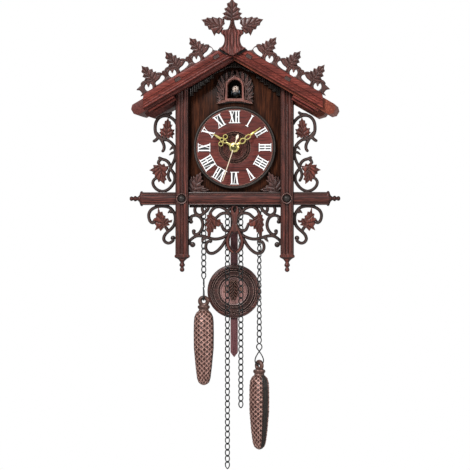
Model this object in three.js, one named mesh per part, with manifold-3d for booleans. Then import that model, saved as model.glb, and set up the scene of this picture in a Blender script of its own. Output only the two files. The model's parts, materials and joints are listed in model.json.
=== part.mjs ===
// Carved cuckoo clock with a quartz movement, hanging on a wall.
// Millimetres. X is to the right as the clock is seen, +Z is up, the wall is the plane Y = 0 and the
// front faces -Y. The origin is on the wall, level with the centre of the dial.
import * as THREE from 'three';
import { mergeVertices } from 'three/addons/utils/BufferGeometryUtils.js';
import Module from 'manifold-3d';

const wasm = await Module();
wasm.setup();

// ---------------------------------------------------------------- driving dimensions
const GAP = 0.3; // clearance between touching pieces

// Depths, from the wall (0) to the front (negative).
const BACK = 3; // thickness of the back cover
const BOARD = { back: -56, front: -61 }; // front board of the case
const TRIM = { back: BOARD.front - GAP, front: -66 }; // thin carvings on the front board
const POST = { back: BOARD.front - GAP, front: -73 };
const POSTS = { inner: 55.5, outer: 71 };
const BAR = { low: -69, high: -53.5, half: 112, front: -70.1 };
const TIP = { bar: 11.4, post: 13.9, radius: 3.6 }; // lengths of the turned tips and their first radius
const TIP_START = { bar: 115.6, post: -135.5 }; // where the tips begin, along the bar and down the post
const COLLAR = { inner: 112.6, outer: 114, rise: 1.4 }; // the collar round each end of the bar
const ROOF_FRONT = -88;
const BARGE = { back: ROOF_FRONT - GAP, front: -95 };
const CREST = { back: BARGE.back, front: -93 };
const FINIAL = { back: BARGE.front - GAP, front: -103 };

// Case.
const CASE = { half: 60, wall: 4, bottom: -68, base: 6 };
const INNER = CASE.half - CASE.wall - GAP;

// Roof. A point (s, t) lies s down the slope from the ridge and t above the underside.
const PITCH = THREE.MathUtils.degToRad(30);
const RIDGE = 104.2; // height of the underside at the middle
const ROOF = { thick: 14.5, end: 135.5, chamfer: 4 };
const CREST_UNITS = [30.3, 63.6, 96.6]; // how far down the slope the stems of the crest leaves stand

// Dial and shafts, on the Y axis.
const DIAL_RADIUS = 49.5;
const DIAL = { back: BOARD.front - GAP, front: -67.3 };
const SHAFT = {
  seconds: 0.5, minuteIn: 0.75, minuteOut: 1.3, hourIn: 1.55, hourOut: 2.15, bushIn: 2.4, bushOut: 3.6,
};
const HAND_Y = { hour: -71.2, minute: -73.6, second: -76.2, thick: 1 };
const REST_ANGLE = { hour: 302.6, minute: 53.4, second: 198.5 }; // degrees clockwise from XII

// Movement.
const MOVEMENT = { half: 28, front: -55.7, back: -41.5, wall: 1.5 };
const WHEEL = { thick: 1, hourY: -53.6, motionY: -51.4, centreY: -49.2, thirdY: -47 };
const TRAIN = 15; // distance from the centre to the third arbor
const MOTION = 9; // distance from the centre to the motion wheel's arbor
const KNOB_Z = -18;

// Pendulum, chains and weights.
const PENDULUM = { x: -4.4, y: -22, pivot: -34, disc: -173.3, radius: 32.5, tip: -253.6, half: 4.5 };
const CHAIN = { y: -46, bar: -54, radius: 2.8, top: -56 };
const STRANDS = {
  chain_left_weight: { x: -39.2, end: -156.6 },
  chain_left_free: { x: -10.5, end: -385.6 },
  chain_right_free: { x: 5.8, end: -312 },
  chain_right_weight: { x: 28.1, end: -234.6 },
};
const CONES = {
  left: { x: -39.2, top: -178, turn: 0 },
  right: { x: 28.1, top: -255.4, turn: -48 },
};
const CONE_RING = { radius: 4.6, tube: 2.3 };
const CONE_FLAT = 0.9; // depth of a cone's round body over its width

// Window and bird.
const WINDOW = { half: 8.5, bottom: 59.5, spring: 73 };
const SHELF = { top: 55, thick: 4 };
const PINION = { x: 9.6, y: -28, radius: 4, teeth: 12 };

// ---------------------------------------------------------------- materials
const material = (color, roughness, metalness = 0) => ({ color, roughness, metalness });
const MAHOGANY = material('#7a3b33', 0.4);
const DARK_WOOD = material('#4a2823', 0.45);
const CARVED = material('#3f2a26', 0.5);
const BOARD_WOOD = material('#33231c', 0.5);
const DIAL_WOOD = material('#5a2b2a', 0.4);
const PLAIN_WOOD = material('#8a6a4a', 0.7);
const GOLD = material('#d9c06a', 0.3, 1);
const GUNMETAL = material('#3c3f40', 0.4, 1);
const STEEL = material('#b9bcc0', 0.3, 1);
const BRASS = material('#c9a24a', 0.3, 1);
const COPPER = material('#8a5a48', 0.4, 0.8);
const CREAM = material('#e6cdbb', 0.5);
const BLACK_PLASTIC = material('#202124', 0.5);
const WHITE_PLASTIC = material('#e8e6df', 0.5);
const GREEN_BOARD = material('#2f6a3f', 0.5);
const CELL = material('#b08a3c', 0.35, 0.6);

// ---------------------------------------------------------------- geometry helpers
const clock = new THREE.Group();

function add(name, geometry, finish) {
  const mesh = new THREE.Mesh(geometry, new THREE.MeshStandardMaterial(finish));
  mesh.name = name;
  clock.add(mesh);
  return mesh;
}

// A closed geometry as a solid: shared corners are merged and triangles with no area are dropped.
function solidOf(geometry) {
  const bare = geometry.clone();
  bare.deleteAttribute('normal');
  bare.deleteAttribute('uv');
  const merged = mergeVertices(bare, 1e-4);
  const index = merged.index.array;
  const corners = [];
  for (let i = 0; i < index.length; i += 3) {
    const [a, b, c] = [index[i], index[i + 1], index[i + 2]];
    if (a !== b && b !== c && c !== a) corners.push(a, b, c);
  }
  const mesh = new wasm.Mesh({
    numProp: 3,
    vertProperties: new Float32Array(merged.attributes.position.array),
    triVerts: new Uint32Array(corners),
  });
  return new wasm.Manifold(mesh);
}

function geometryOf(solid) {
  const mesh = solid.getMesh();
  const geometry = new THREE.BufferGeometry();
  geometry.setAttribute('position', new THREE.BufferAttribute(mesh.vertProperties, 3));
  geometry.setIndex(new THREE.BufferAttribute(mesh.triVerts, 1));
  return geometry;
}

const join = (...pieces) => geometryOf(pieces.map(solidOf).reduce((all, piece) => all.add(piece)));
const cut = (body, ...tools) =>
  geometryOf(tools.map(solidOf).reduce((rest, tool) => rest.subtract(tool), solidOf(body)));

function box(x, y, z) {
  const geometry = new THREE.BoxGeometry(x[1] - x[0], y[1] - y[0], z[1] - z[0]);
  return geometry.translate((x[0] + x[1]) / 2, (y[0] + y[1]) / 2, (z[0] + z[1]) / 2);
}

// An outline of [x, z] points, extruded from yBack forwards to yFront, with any holes cut through it.
function plate(outline, yBack, yFront, holes = []) {
  const shape = new THREE.Shape(outline.map(([x, z]) => new THREE.Vector2(x, z)));
  const geometry = new THREE.ExtrudeGeometry(shape, { depth: yBack - yFront, bevelEnabled: false });
  geometry.rotateX(Math.PI / 2).translate(0, yBack, 0);
  if (holes.length === 0) return geometry;
  return cut(geometry, ...holes.map((hole) => plate(hole, yBack + 1, yFront - 1)));
}

// An outline of [x, y] points, extruded upwards.
function slab(outline, zLow, zHigh) {
  const shape = new THREE.Shape(outline.map(([x, y]) => new THREE.Vector2(x, y)));
  const geometry = new THREE.ExtrudeGeometry(shape, { depth: zHigh - zLow, bevelEnabled: false });
  return geometry.translate(0, 0, zLow);
}

function arc(cx, cz, radius, from, to, steps) {
  const points = [];
  for (let i = 0; i <= steps; i += 1) {
    const angle = THREE.MathUtils.degToRad(from + ((to - from) * i) / steps);
    points.push([cx + radius * Math.cos(angle), cz + radius * Math.sin(angle)]);
  }
  return points;
}

const circle = (cx, cz, radius, sides) => arc(cx, cz, radius, 0, 360 - 360 / sides, sides - 1);
const disc = (cx, cz, radius, yBack, yFront, sides) => plate(circle(cx, cz, radius, sides), yBack, yFront);
const mirror = (points) => points.map(([x, z]) => [-x, z]);
const sided = (points, side) => (side < 0 ? mirror(points) : points);

// A turned piece about the Z axis (or, with axis 'y', about the Y axis) from [radius, height] points,
// given in either direction.
function turned(profile, sides, axis = 'z') {
  const area = profile.reduce((sum, [r, h], i) => {
    const [nextR, nextH] = profile[(i + 1) % profile.length];
    return sum + r * nextH - nextR * h;
  }, 0);
  const upwards = area < 0 ? [...profile].reverse() : profile;
  const lathe = new THREE.LatheGeometry(upwards.map(([r, h]) => new THREE.Vector2(r, h)), sides);
  if (axis === 'z') lathe.rotateX(Math.PI / 2);
  return geometryOf(solidOf(lathe));
}

// A flat band of wood along a smooth curve through [x, z] points, of even thickness from back to
// front. The half widths run evenly from the first to the last.
function band(points, halfWidths, yBack, yFront, options = {}) {
  const { steps = Math.ceil(points.length * 1.6), closed = false } = options;
  const curve = new THREE.CatmullRomCurve3(points.map(([x, z]) => new THREE.Vector3(x, 0, z)), closed);
  const count = closed ? steps : steps + 1;
  const position = [];
  for (let i = 0; i < count; i += 1) {
    const u = i / steps;
    const at = curve.getPointAt(u);
    const along = curve.getTangentAt(u);
    const half = THREE.MathUtils.lerp(halfWidths[0], halfWidths[1], u);
    const [dx, dz] = [-along.z * half, along.x * half];
    position.push(at.x + dx, yBack, at.z + dz, at.x - dx, yBack, at.z - dz);
    position.push(at.x - dx, yFront, at.z - dz, at.x + dx, yFront, at.z + dz);
  }
  const index = [];
  for (let i = 0; i < steps; i += 1) {
    const [near, far] = [4 * i, 4 * ((i + 1) % count)];
    for (let k = 0; k < 4; k += 1) {
      const next = (k + 1) % 4;
      index.push(near + k, far + next, near + next, near + k, far + k, far + next);
    }
  }
  if (!closed) {
    const last = 4 * steps;
    index.push(0, 1, 2, 0, 2, 3, last, last + 2, last + 1, last, last + 3, last + 2);
  }
  const geometry = new THREE.BufferGeometry();
  geometry.setAttribute('position', new THREE.Float32BufferAttribute(position, 3));
  geometry.setIndex(index);
  return geometry;
}

// A leaf with pointed teeth, from its base at `from` to its tip at `to`.
function leaf(from, to, halfWidth, teeth) {
  const axis = new THREE.Vector2(to[0] - from[0], to[1] - from[1]);
  const length = axis.length();
  axis.normalize();
  const right = [];
  const left = [];
  for (let i = 0; i < teeth; i += 1) {
    const swell = Math.sin(Math.PI * (0.3 + (0.62 * i) / teeth));
    const tip = [halfWidth * swell, length * (0.22 + (0.7 * i) / teeth)];
    const notch = [tip[0] * 0.66, tip[1] + (0.2 * length) / teeth];
    right.push(tip, notch);
    left.unshift([-notch[0], notch[1]], [-tip[0], tip[1]]);
  }
  const outline = [[0.06 * halfWidth, 0], ...right, [0, length], ...left, [-0.06 * halfWidth, 0]];
  return outline.map(([x, y]) => [from[0] + x * axis.y + y * axis.x, from[1] - x * axis.x + y * axis.y]);
}

// ---------------------------------------------------------------- roof line
const COS = Math.cos(PITCH);
const SIN = Math.sin(PITCH);
const onSlope = (s, t) => [s * COS + t * SIN, RIDGE - s * SIN + t * COS];
const underRoof = (x, drop = 0) => [x, RIDGE - Math.abs(x) * Math.tan(PITCH) - drop];

// The case's gable outline, a little under the roof.
function gable(half, bottom) {
  const drop = 0.4;
  return [[-half, bottom], [half, bottom], underRoof(half, drop), underRoof(0, drop), underRoof(-half, drop)];
}

// ---------------------------------------------------------------- case
function archOutline(half, bottom, spring) {
  return [[-half, bottom], [half, bottom], ...arc(0, spring, half, 0, 180, 10)];
}

function buildCase() {
  const keyhole = [...arc(0, 62, 4.5, -230, 50, 10), [2.5, 74], [-2.5, 74]];
  const knobHole = circle(0, KNOB_Z, 9, 16);
  const opening = [[-36, 6], [36, 6], [36, 54], [-36, 54]];
  add('back_cover', plate(gable(CASE.half, CASE.bottom), 0, -BACK, [keyhole, knobHole, opening]), PLAIN_WOOD);
  add('service_door', plate([[-35.6, 6.4], [35.6, 6.4], [35.6, 53.6], [-35.6, 53.6]], 0, -BACK), PLAIN_WOOD);

  const window = archOutline(WINDOW.half, WINDOW.bottom, WINDOW.spring);
  const bushHole = circle(0, 0, SHAFT.bushOut + GAP, 16);
  const board = plate(gable(CASE.half, CASE.bottom), BOARD.back, BOARD.front, [window, bushHole]);
  add('front_board', board, BOARD_WOOD);

  const inside = [BOARD.back + GAP, -BACK - GAP];
  const baseTop = CASE.bottom + CASE.base;
  const base = box([-CASE.half, CASE.half], inside, [CASE.bottom, baseTop]);
  const through = [CASE.bottom - 1, baseTop + 1];
  const slots = [box([PENDULUM.x - 8.8, PENDULUM.x + 8.8], [PENDULUM.y - 6, PENDULUM.y + 6], through)];
  for (const { x } of Object.values(STRANDS)) {
    slots.push(box([x - 4, x + 4], [CHAIN.y - 6, CHAIN.y + 5], through));
  }
  add('base_board', cut(base, ...slots), DARK_WOOD);

  const sideZ = [baseTop + GAP, 69];
  const soundSlots = [-8, 0, 8].map((z) => box([50, 70], [-40, -16], [z - 1.6, z + 1.6]));
  const right = box([CASE.half - CASE.wall, CASE.half], inside, sideZ);
  add('side_panel_right', cut(right, ...soundSlots), BOARD_WOOD);
  const left = box([-CASE.half, CASE.wall - CASE.half], inside, sideZ);
  add('side_panel_left', cut(left, box([-70, -50], [-36, -20], [15.5, 20.5])), BOARD_WOOD);
}

// ---------------------------------------------------------------- roof and its carvings
function buildRoof(side, name) {
  const { thick, end, chamfer } = ROOF;
  const plank = [
    underRoof(0.2), onSlope(end - chamfer, 0), onSlope(end, chamfer), onSlope(end, thick - chamfer),
    onSlope(end - chamfer, thick), [0.2, RIDGE + thick / COS - 0.1],
  ];
  const inner = CASE.half + 0.4;
  const moulding = [
    underRoof(inner, -1), underRoof(inner, 11.5), onSlope(119.4, -10), onSlope(125.5, -3.5), onSlope(126, 1),
  ];
  const board = join(
    plate(sided(plank, side), 0, ROOF_FRONT),
    plate(sided(moulding, side), -8, POST.back),
  );
  add(`roof_board_${name}`, board, MAHOGANY);
}

// One crest leaf with its stem, between a bean-shaped slot and a round hole. Its origin is where
// the stem leaves the board, u runs down the slope and v away from it.
function crestUnit(s, side) {
  const base = 17;
  const place = (points) => sided(points.map(([u, v]) => onSlope(s + u, base + v)), side);
  const strip = place([
    [-18, -2], [17, -2], [17, 12.5], [14, 13.4], [11, 12.4], [6, 14], [-6, 14], [-11, 12.8], [-15, 12.4],
    [-18, 10],
  ]);
  const bean = place([[-14, 4], [-2, 2.8], [-1.8, 4.8], [-8, 7.4], [-13, 9.8], [-15.2, 7]]);
  const round = place(circle(7.2, 5.4, 4.7, 10));
  const blade = place(leaf([-2, 8.5], [1.6, 31.9], 9.8, 5));
  const sheet = (outline) => plate(outline, CREST.back, CREST.front);
  const band = cut(sheet(strip), plate(bean, 0, -200), plate(round, 0, -200));
  return join(band, sheet(blade));
}

function buildBargeboard(side, name) {
  const outline = [
    [0.2, 107.4], [107.5, 45.5], [107.5, 60], [109.5, 64.5], [114.2, 67.5], [107, 69.5], [101, 67.1],
    [0.2, 125.3],
  ];
  const board = plate(sided(outline, side), BARGE.back, BARGE.front);
  const units = CREST_UNITS.map((s) => crestUnit(s, side));
  add(`bargeboard_${name}`, join(board, ...units), MAHOGANY);
}

function buildFinial() {
  const half = [
    [15, 116.5], [10, 121.5], [8.6, 127], [9, 133], [7.5, 137], [13, 136], [18, 132], [22, 140], [28, 145],
    [36.5, 151], [26, 153.5], [16, 152.5], [9, 148], [5, 142.5], [3.2, 145], [3.2, 150], [12, 155], [7, 163],
  ];
  const outline = [[0, 112], ...half, [0, 176.5], ...mirror(half).reverse()];
  add('ridge_finial', plate(outline, FINIAL.back, FINIAL.front), CARVED);
}

function buildFringe() {
  const steps = [
    [54, 63.6], [46, 66.5], [46, 70], [38, 71.5], [38, 75.5], [30, 77], [30, 81], [24.5, 82], [24.5, 89],
  ];
  const half = [underRoof(54, 0.6), ...steps];
  const outline = [underRoof(0, 0.6), ...half, [10, 96], [-10, 96], ...mirror(half).reverse()];
  add('gable_fringe', plate(outline, TRIM.back, -65), CARVED);
}

// ---------------------------------------------------------------- posts, crossbar and bosses
// A turned tip with a neck, a bead and a ball. It starts at z = 0 and points down.
function turnedTip(length) {
  const profile = [
    [0, 1], [1, 1], [1, 0], [0.66, -0.2], [0.92, -0.33], [0.92, -0.47], [0.56, -0.58], [0.76, -0.7],
    [0.76, -0.86], [0.4, -0.97], [0, -1],
  ];
  return turned(profile.map(([r, z]) => [r * TIP.radius, z * (z > 0 ? 1 : length)]), 14);
}

function buildPost(side, name) {
  const { inner, outer } = POSTS;
  const middle = (inner + outer) / 2;
  const foot = TIP_START.post;
  const outline = [
    underRoof(inner, 0.6), [inner, -129], [54.6, -131], [55.4, -132.6], [middle - TIP.radius, foot],
    [middle + TIP.radius, foot], [71.1, -132.6], [71.9, -131], [outer, -129], underRoof(outer, 0.6),
  ];
  const tip = turnedTip(TIP.post).translate(side * middle, (POST.back + POST.front) / 2, foot);
  const flutes = [-4.2, 0, 4.2].map((x) =>
    box([side * middle + x - 0.7, side * middle + x + 0.7], [-80, -72.2], [-128, 45]));
  const seat = box([-200, 200], [BAR.front - GAP, 0], [BAR.low - 0.4, BAR.high + 0.4]);
  const shaft = join(plate(sided(outline, side), POST.back, POST.front), tip);
  add(`post_${name}`, cut(shaft, seat, ...flutes), DARK_WOOD);
  const dome = [[0, -1], [6.4, -1], [6.4, 0.8], [5, 1.2], [4.2, 2.6], [2.4, 3.8], [0, 4.2]];
  const boss = turned(dome, 14, 'z').rotateX(Math.PI / 2);
  const crossing = (BAR.low + BAR.high) / 2;
  add(`boss_${name}`, boss.translate(side * middle, POST.front - 1 - GAP, crossing), CARVED);
}

function buildCrossbar() {
  const middle = (BAR.low + BAR.high) / 2;
  const neck = TIP_START.bar;
  const [low, high] = [BAR.low - COLLAR.rise, BAR.high + COLLAR.rise];
  const half = [
    [BAR.half, BAR.low], [COLLAR.inner, low], [COLLAR.outer, low], [neck, middle - TIP.radius],
    [neck, middle + TIP.radius], [COLLAR.outer, high], [COLLAR.inner, high], [BAR.half, BAR.high],
  ];
  const bar = plate([...half, ...mirror(half).reverse()], BOARD.front - GAP, BAR.front);
  const tips = [-1, 1].map((side) => turnedTip(TIP.bar).rotateY(side * -Math.PI / 2)
    .translate(side * neck, (BOARD.front - GAP + BAR.front) / 2, middle));
  const grooves = [-57.6, -65.4].map((z) => box([-108, 108], [-80, -69.3], [z - 0.6, z + 0.6]));
  add('crossbar', cut(join(bar, ...tips), ...grooves), DARK_WOOD);
}

// ---------------------------------------------------------------- vines
const RING = { x: 83.5, z: 24.6, radius: 13.3 };
const UPPER_VINE = {
  stem: [[93, 13], [83, 9.6], [77, 6], [73.6, 2], [72, -8], [74, -17], [80, -29], [80.4, -35], [77, -41]],
  curl: [[86, 38], [79, 40.6], [76, 43]],
  spike: [[92, 13.4], [99, 7.4]],
  tendril: [[91, 12.4], [87.6, 7.4], [85.6, 1], [88.4, -5]],
  hook: [[77.6, -24], [79.8, -18.4], [83.6, -15], [92.8, -11.4]],
  cup: [
    [78.6, -25], [73.4, -32], [73, -40], [80.6, -50], [86.6, -52], [92.8, -51], [97.6, -47], [99, -42],
    [94, -37],
  ],
};
const LOWER_VINE = {
  ring: [
    [96, -88], [103, -87.4], [104, -81], [102, -75.6], [97, -72], [85, -71], [75, -76], [72, -87],
    [77, -97.6], [84.6, -105], [86, -109.6], [84, -113.4], [76, -113], [73.6, -110],
  ],
  stem: [[81, -100.6], [84.4, -95.6]],
};
const APRON = {
  curl: [[53, -89], [54, -85], [46, -81.6], [41.4, -84.4], [39, -90], [39, -96], [42, -101.4], [49, -102]],
  hook: [[46.6, -71], [48, -75], [43, -81.2], [35, -76.6], [32.4, -74]],
  knot: [[31, -71], [33.6, -75.4], [39, -74.6], [38.4, -71]],
  low: [[51, -117], [54, -114], [50, -108.6], [46, -106.4], [33, -108], [19, -109.4], [12, -106.8], [2, -98]],
  loop: [[30, -112], [34.6, -116], [35, -121], [32, -126], [26.8, -127], [15.4, -118], [6, -103.6], [2, -98]],
  arch: [[31, -81], [28, -75.8], [19, -71.4], [13.6, -72.8], [5, -80]],
  inner: [[24.5, -86], [21, -83], [17, -79.8], [12, -78.8], [3, -85]],
  vein: [[17, -91], [13, -98.6], [8.6, -99.6], [2.4, -92]],
};

function sweep(paths, side, widths) {
  return Object.values(paths).map((points) => band(sided(points, side), widths, TRIM.back, TRIM.front));
}

// Carvings butt against the posts and the crossbar.
const postZone = (side) => {
  const edge = POSTS.outer + GAP;
  return box(side < 0 ? [-edge, 0] : [0, edge], [-90, 0], [-200, 100]);
};
const barZone = () => box([-130, 130], [-90, 0], [BAR.low - 1.7, BAR.high + 0.7]);

function buildUpperVine(side, name) {
  const widths = [1.7, 1.6];
  const ring = band(sided(circle(RING.x, RING.z, RING.radius, 8), side), widths, TRIM.back, TRIM.front, {
    steps: 16,
    closed: true,
  });
  const blades = [
    leaf([82.8, 10], [80.6, 36.4], 9.6, 3),
    leaf([91, -13.6], [86, -43.8], 11.5, 4),
    leaf([72, 2], [79, -3], 2.2, 2),
    leaf([71.6, -5], [79.6, -9], 2.2, 2),
  ].map((outline) => plate(sided(outline, side), TRIM.back, TRIM.front));
  const vine = join(ring, ...blades, ...sweep(UPPER_VINE, side, widths));
  add(`vine_upper_${name}`, cut(vine, postZone(side), barZone()), CARVED);
}

function buildLowerVine(side, name) {
  const blades = [
    leaf([83.6, -98], [92.4, -73], 9.5, 4), leaf([76.6, -74.6], [81.6, -79], 2.2, 2),
    circle(74.8, -108.6, 2.9, 8),
  ];
  const solids = blades.map((outline) => plate(sided(outline, side), TRIM.back, TRIM.front));
  const vine = join(...solids, ...sweep(LOWER_VINE, side, [1.8, 1.7]));
  add(`vine_lower_${name}`, cut(vine, postZone(side), barZone()), CARVED);
}

function buildApron() {
  const trunk = [
    [-3.4, -97], [-3.4, -84], [-5, -76], [-4, -69.6], [4, -69.6], [5, -76], [3.4, -84], [3.4, -97],
  ];
  const diamond = [[0, -70.4], [2, -74], [0, -78], [-2, -74]];
  const lens = band(
    [[0, -100], [6.5, -106], [7.8, -114], [6, -121], [0, -126], [-6, -121], [-7.8, -114], [-6.5, -106]],
    [1.7, 1.7], TRIM.back, TRIM.front, { steps: 16, closed: true },
  );
  const solids = [plate(trunk, TRIM.back, TRIM.front, [diamond]), lens];
  for (const side of [-1, 1]) {
    solids.push(...sweep(APRON, side, [1.7, 1.7]));
    const blades = [
      leaf([28.6, -77], [31, -107], 7, 4), leaf([28, -85], [14, -91.5], 5.5, 2),
      leaf([35, -106.6], [41, -114], 2.6, 2), circle(53, -89, 2.6, 8), circle(49.6, -100.4, 2.4, 8),
      circle(51, -117, 2.8, 8), circle(29.6, -112.4, 2.4, 8),
    ];
    solids.push(...blades.map((outline) => plate(sided(outline, side), TRIM.back, TRIM.front)));
  }
  const reach = POSTS.inner - GAP;
  const rail = box([-reach, reach], [TRIM.back - 2.6, TRIM.back], [-72.6, BAR.low - 0.5]);
  const posts = [[-70, -reach], [reach, 70]].map((x) => box(x, [-90, 0], [-200, 0]));
  add('apron_scroll', cut(join(...solids, rail), ...posts), CARVED);
}

// ---------------------------------------------------------------- window frame, corner leaves
function buildWindowFrame() {
  const half = [
    [20, 53], [22, 57], [20, 61], [22, 66], [22.3, 74], [20.5, 80], [17, 85], [13, 90], [8, 93], [3.5, 91],
  ];
  const outline = [[0, 54.5], ...half, [0, 87.5], ...mirror(half).reverse()];
  const window = archOutline(WINDOW.half, WINDOW.bottom, WINDOW.spring);
  const backing = plate(outline, TRIM.back, -65.2, [window]);
  const rim = plate(archOutline(11.8, 56, 74), TRIM.back, -67.2, [window]);
  add('window_frame', join(backing, rim), CARVED);
}

function buildCornerLeaf(side, name) {
  const outline = [
    [53.5, -36], [46, -34.5], [40.6, -29.8], [39, -34], [34, -38], [32.5, -43], [30, -48], [31.5, -52.4],
    [36, -51.8],
    [43, -52.6], [52, -52.4], [53.8, -46],
  ];
  const clear = disc(0, 0, DIAL_RADIUS + GAP, 0, -100, 48);
  add(`corner_leaf_${name}`, cut(plate(sided(outline, side), TRIM.back, TRIM.front), clear), CARVED);
}

// ---------------------------------------------------------------- dial, hands and shafts
// A turned piece about the clock's shaft line, from [radius, y] points.
const onShaft = (profile, sides) => turned(profile, sides, 'y');

// A hand's outline, drawn upright, turned to its angle and set at its depth.
function hand(outlines, holes, depth, angle) {
  const solid = cut(
    join(...outlines.map((outline) => plate(outline, 0, -HAND_Y.thick))),
    ...holes.map((hole) => plate(hole, 1, -HAND_Y.thick - 1)),
  );
  return solid.rotateY(THREE.MathUtils.degToRad(angle)).translate(0, depth, 0);
}

function buildDial() {
  const { back, front } = DIAL;
  const hole = SHAFT.bushOut + GAP;
  const ridges = [
    [hole, front + 0.6], [12, front + 0.6], [17.6, front - 0.4], [19, front + 0.8], [46, front + 0.8],
    [47.2, front - 0.4], [DIAL_RADIUS, front], [DIAL_RADIUS, back], [hole, back],
  ];
  add('dial', onShaft([[hole, back], ...ridges], 40), DIAL_WOOD);

  const nutY = [DIAL.front + 0.6 - GAP, DIAL.front - 2.4];
  const nut = plate(circle(0, 0, 6.2, 6), nutY[0], nutY[1], [circle(0, 0, SHAFT.bushOut + GAP, 16)]);
  add('bush_nut', nut, BRASS);
}

function buildHands() {
  const hub = (radius) => circle(0, 0, radius, 16);
  const bore = (radius) => circle(0, 0, radius + 0.25, 16);
  const hourBlade = [
    [-8, 14.5], [-1, 11], [1, 11], [8, 14.5], [7, 19.5], [1.5, 24], [0, 31], [-1.5, 24], [-7, 19.5],
  ];
  const hourShape = [hub(6), [[-2.6, 4], [2.6, 4], [1.8, 11], [-1.8, 11]], hourBlade];
  const hourHoles = [
    bore(SHAFT.hourOut), circle(-4.6, 16.4, 1.4, 8), circle(4.6, 16.4, 1.4, 8),
    circle(0, 14.5, 1.2, 8), circle(0, 19.5, 1.2, 8),
  ];
  add('hour_hand', hand(hourShape, hourHoles, HAND_Y.hour, REST_ANGLE.hour), GOLD);

  const minuteBlade = [
    [-1.8, 4], [1.8, 4], [3.8, 11], [2, 16], [2.9, 20], [1.2, 25], [1.3, 33], [0, 40], [-1.3, 33],
    [-1.2, 25], [-2.9, 20], [-2, 16], [-3.8, 11],
  ];
  const minuteShape = [hub(5), minuteBlade];
  const oval = (z, half, length) => arc(0, 0, 1, 0, 324, 9).map(([x, y]) => [x * half, z + y * length]);
  const minuteHoles = [bore(SHAFT.minuteOut), oval(11, 1.7, 3), oval(19.8, 1.1, 2.4)];
  add('minute_hand', hand(minuteShape, minuteHoles, HAND_Y.minute, REST_ANGLE.minute), GOLD);

  const secondBlade = [
    [-1.1, -15], [1.1, -15], [1.4, -11], [0.5, -9.5], [0.5, 20], [0.25, 43], [-0.25, 43], [-0.5, 20],
    [-0.5, -9.5], [-1.4, -11],
  ];
  const secondShape = [hub(2.4), secondBlade];
  add('second_hand', hand(secondShape, [bore(SHAFT.seconds)], HAND_Y.second, REST_ANGLE.second), GOLD);
}

// ---------------------------------------------------------------- movement
// A spur wheel's outline. Teeth are slim, so that wheels in mesh keep a little play. `first` is the
// direction of one tooth in degrees.
function gearOutline(cx, cz, radius, teeth, first) {
  const step = 360 / teeth;
  const depth = (radius * 2) / teeth;
  const points = [];
  for (let i = 0; i < teeth; i += 1) {
    const middle = first + i * step;
    const corners = [[-0.36, -1.15], [-0.13, 0.75], [0.13, 0.75], [0.36, -1.15]];
    for (const [turn, height] of corners) {
      const angle = THREE.MathUtils.degToRad(middle + turn * step);
      const reach = radius + height * depth;
      points.push([cx + reach * Math.cos(angle), cz + reach * Math.sin(angle)]);
    }
  }
  return points;
}

const wheel = (cx, cz, radius, teeth, first, y) =>
  plate(gearOutline(cx, cz, radius, teeth, first), y + WHEEL.thick / 2, y - WHEEL.thick / 2);
const rod = (cx, cz, radius, yBack, yFront) => disc(cx, cz, radius, yBack, yFront, 12);

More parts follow.
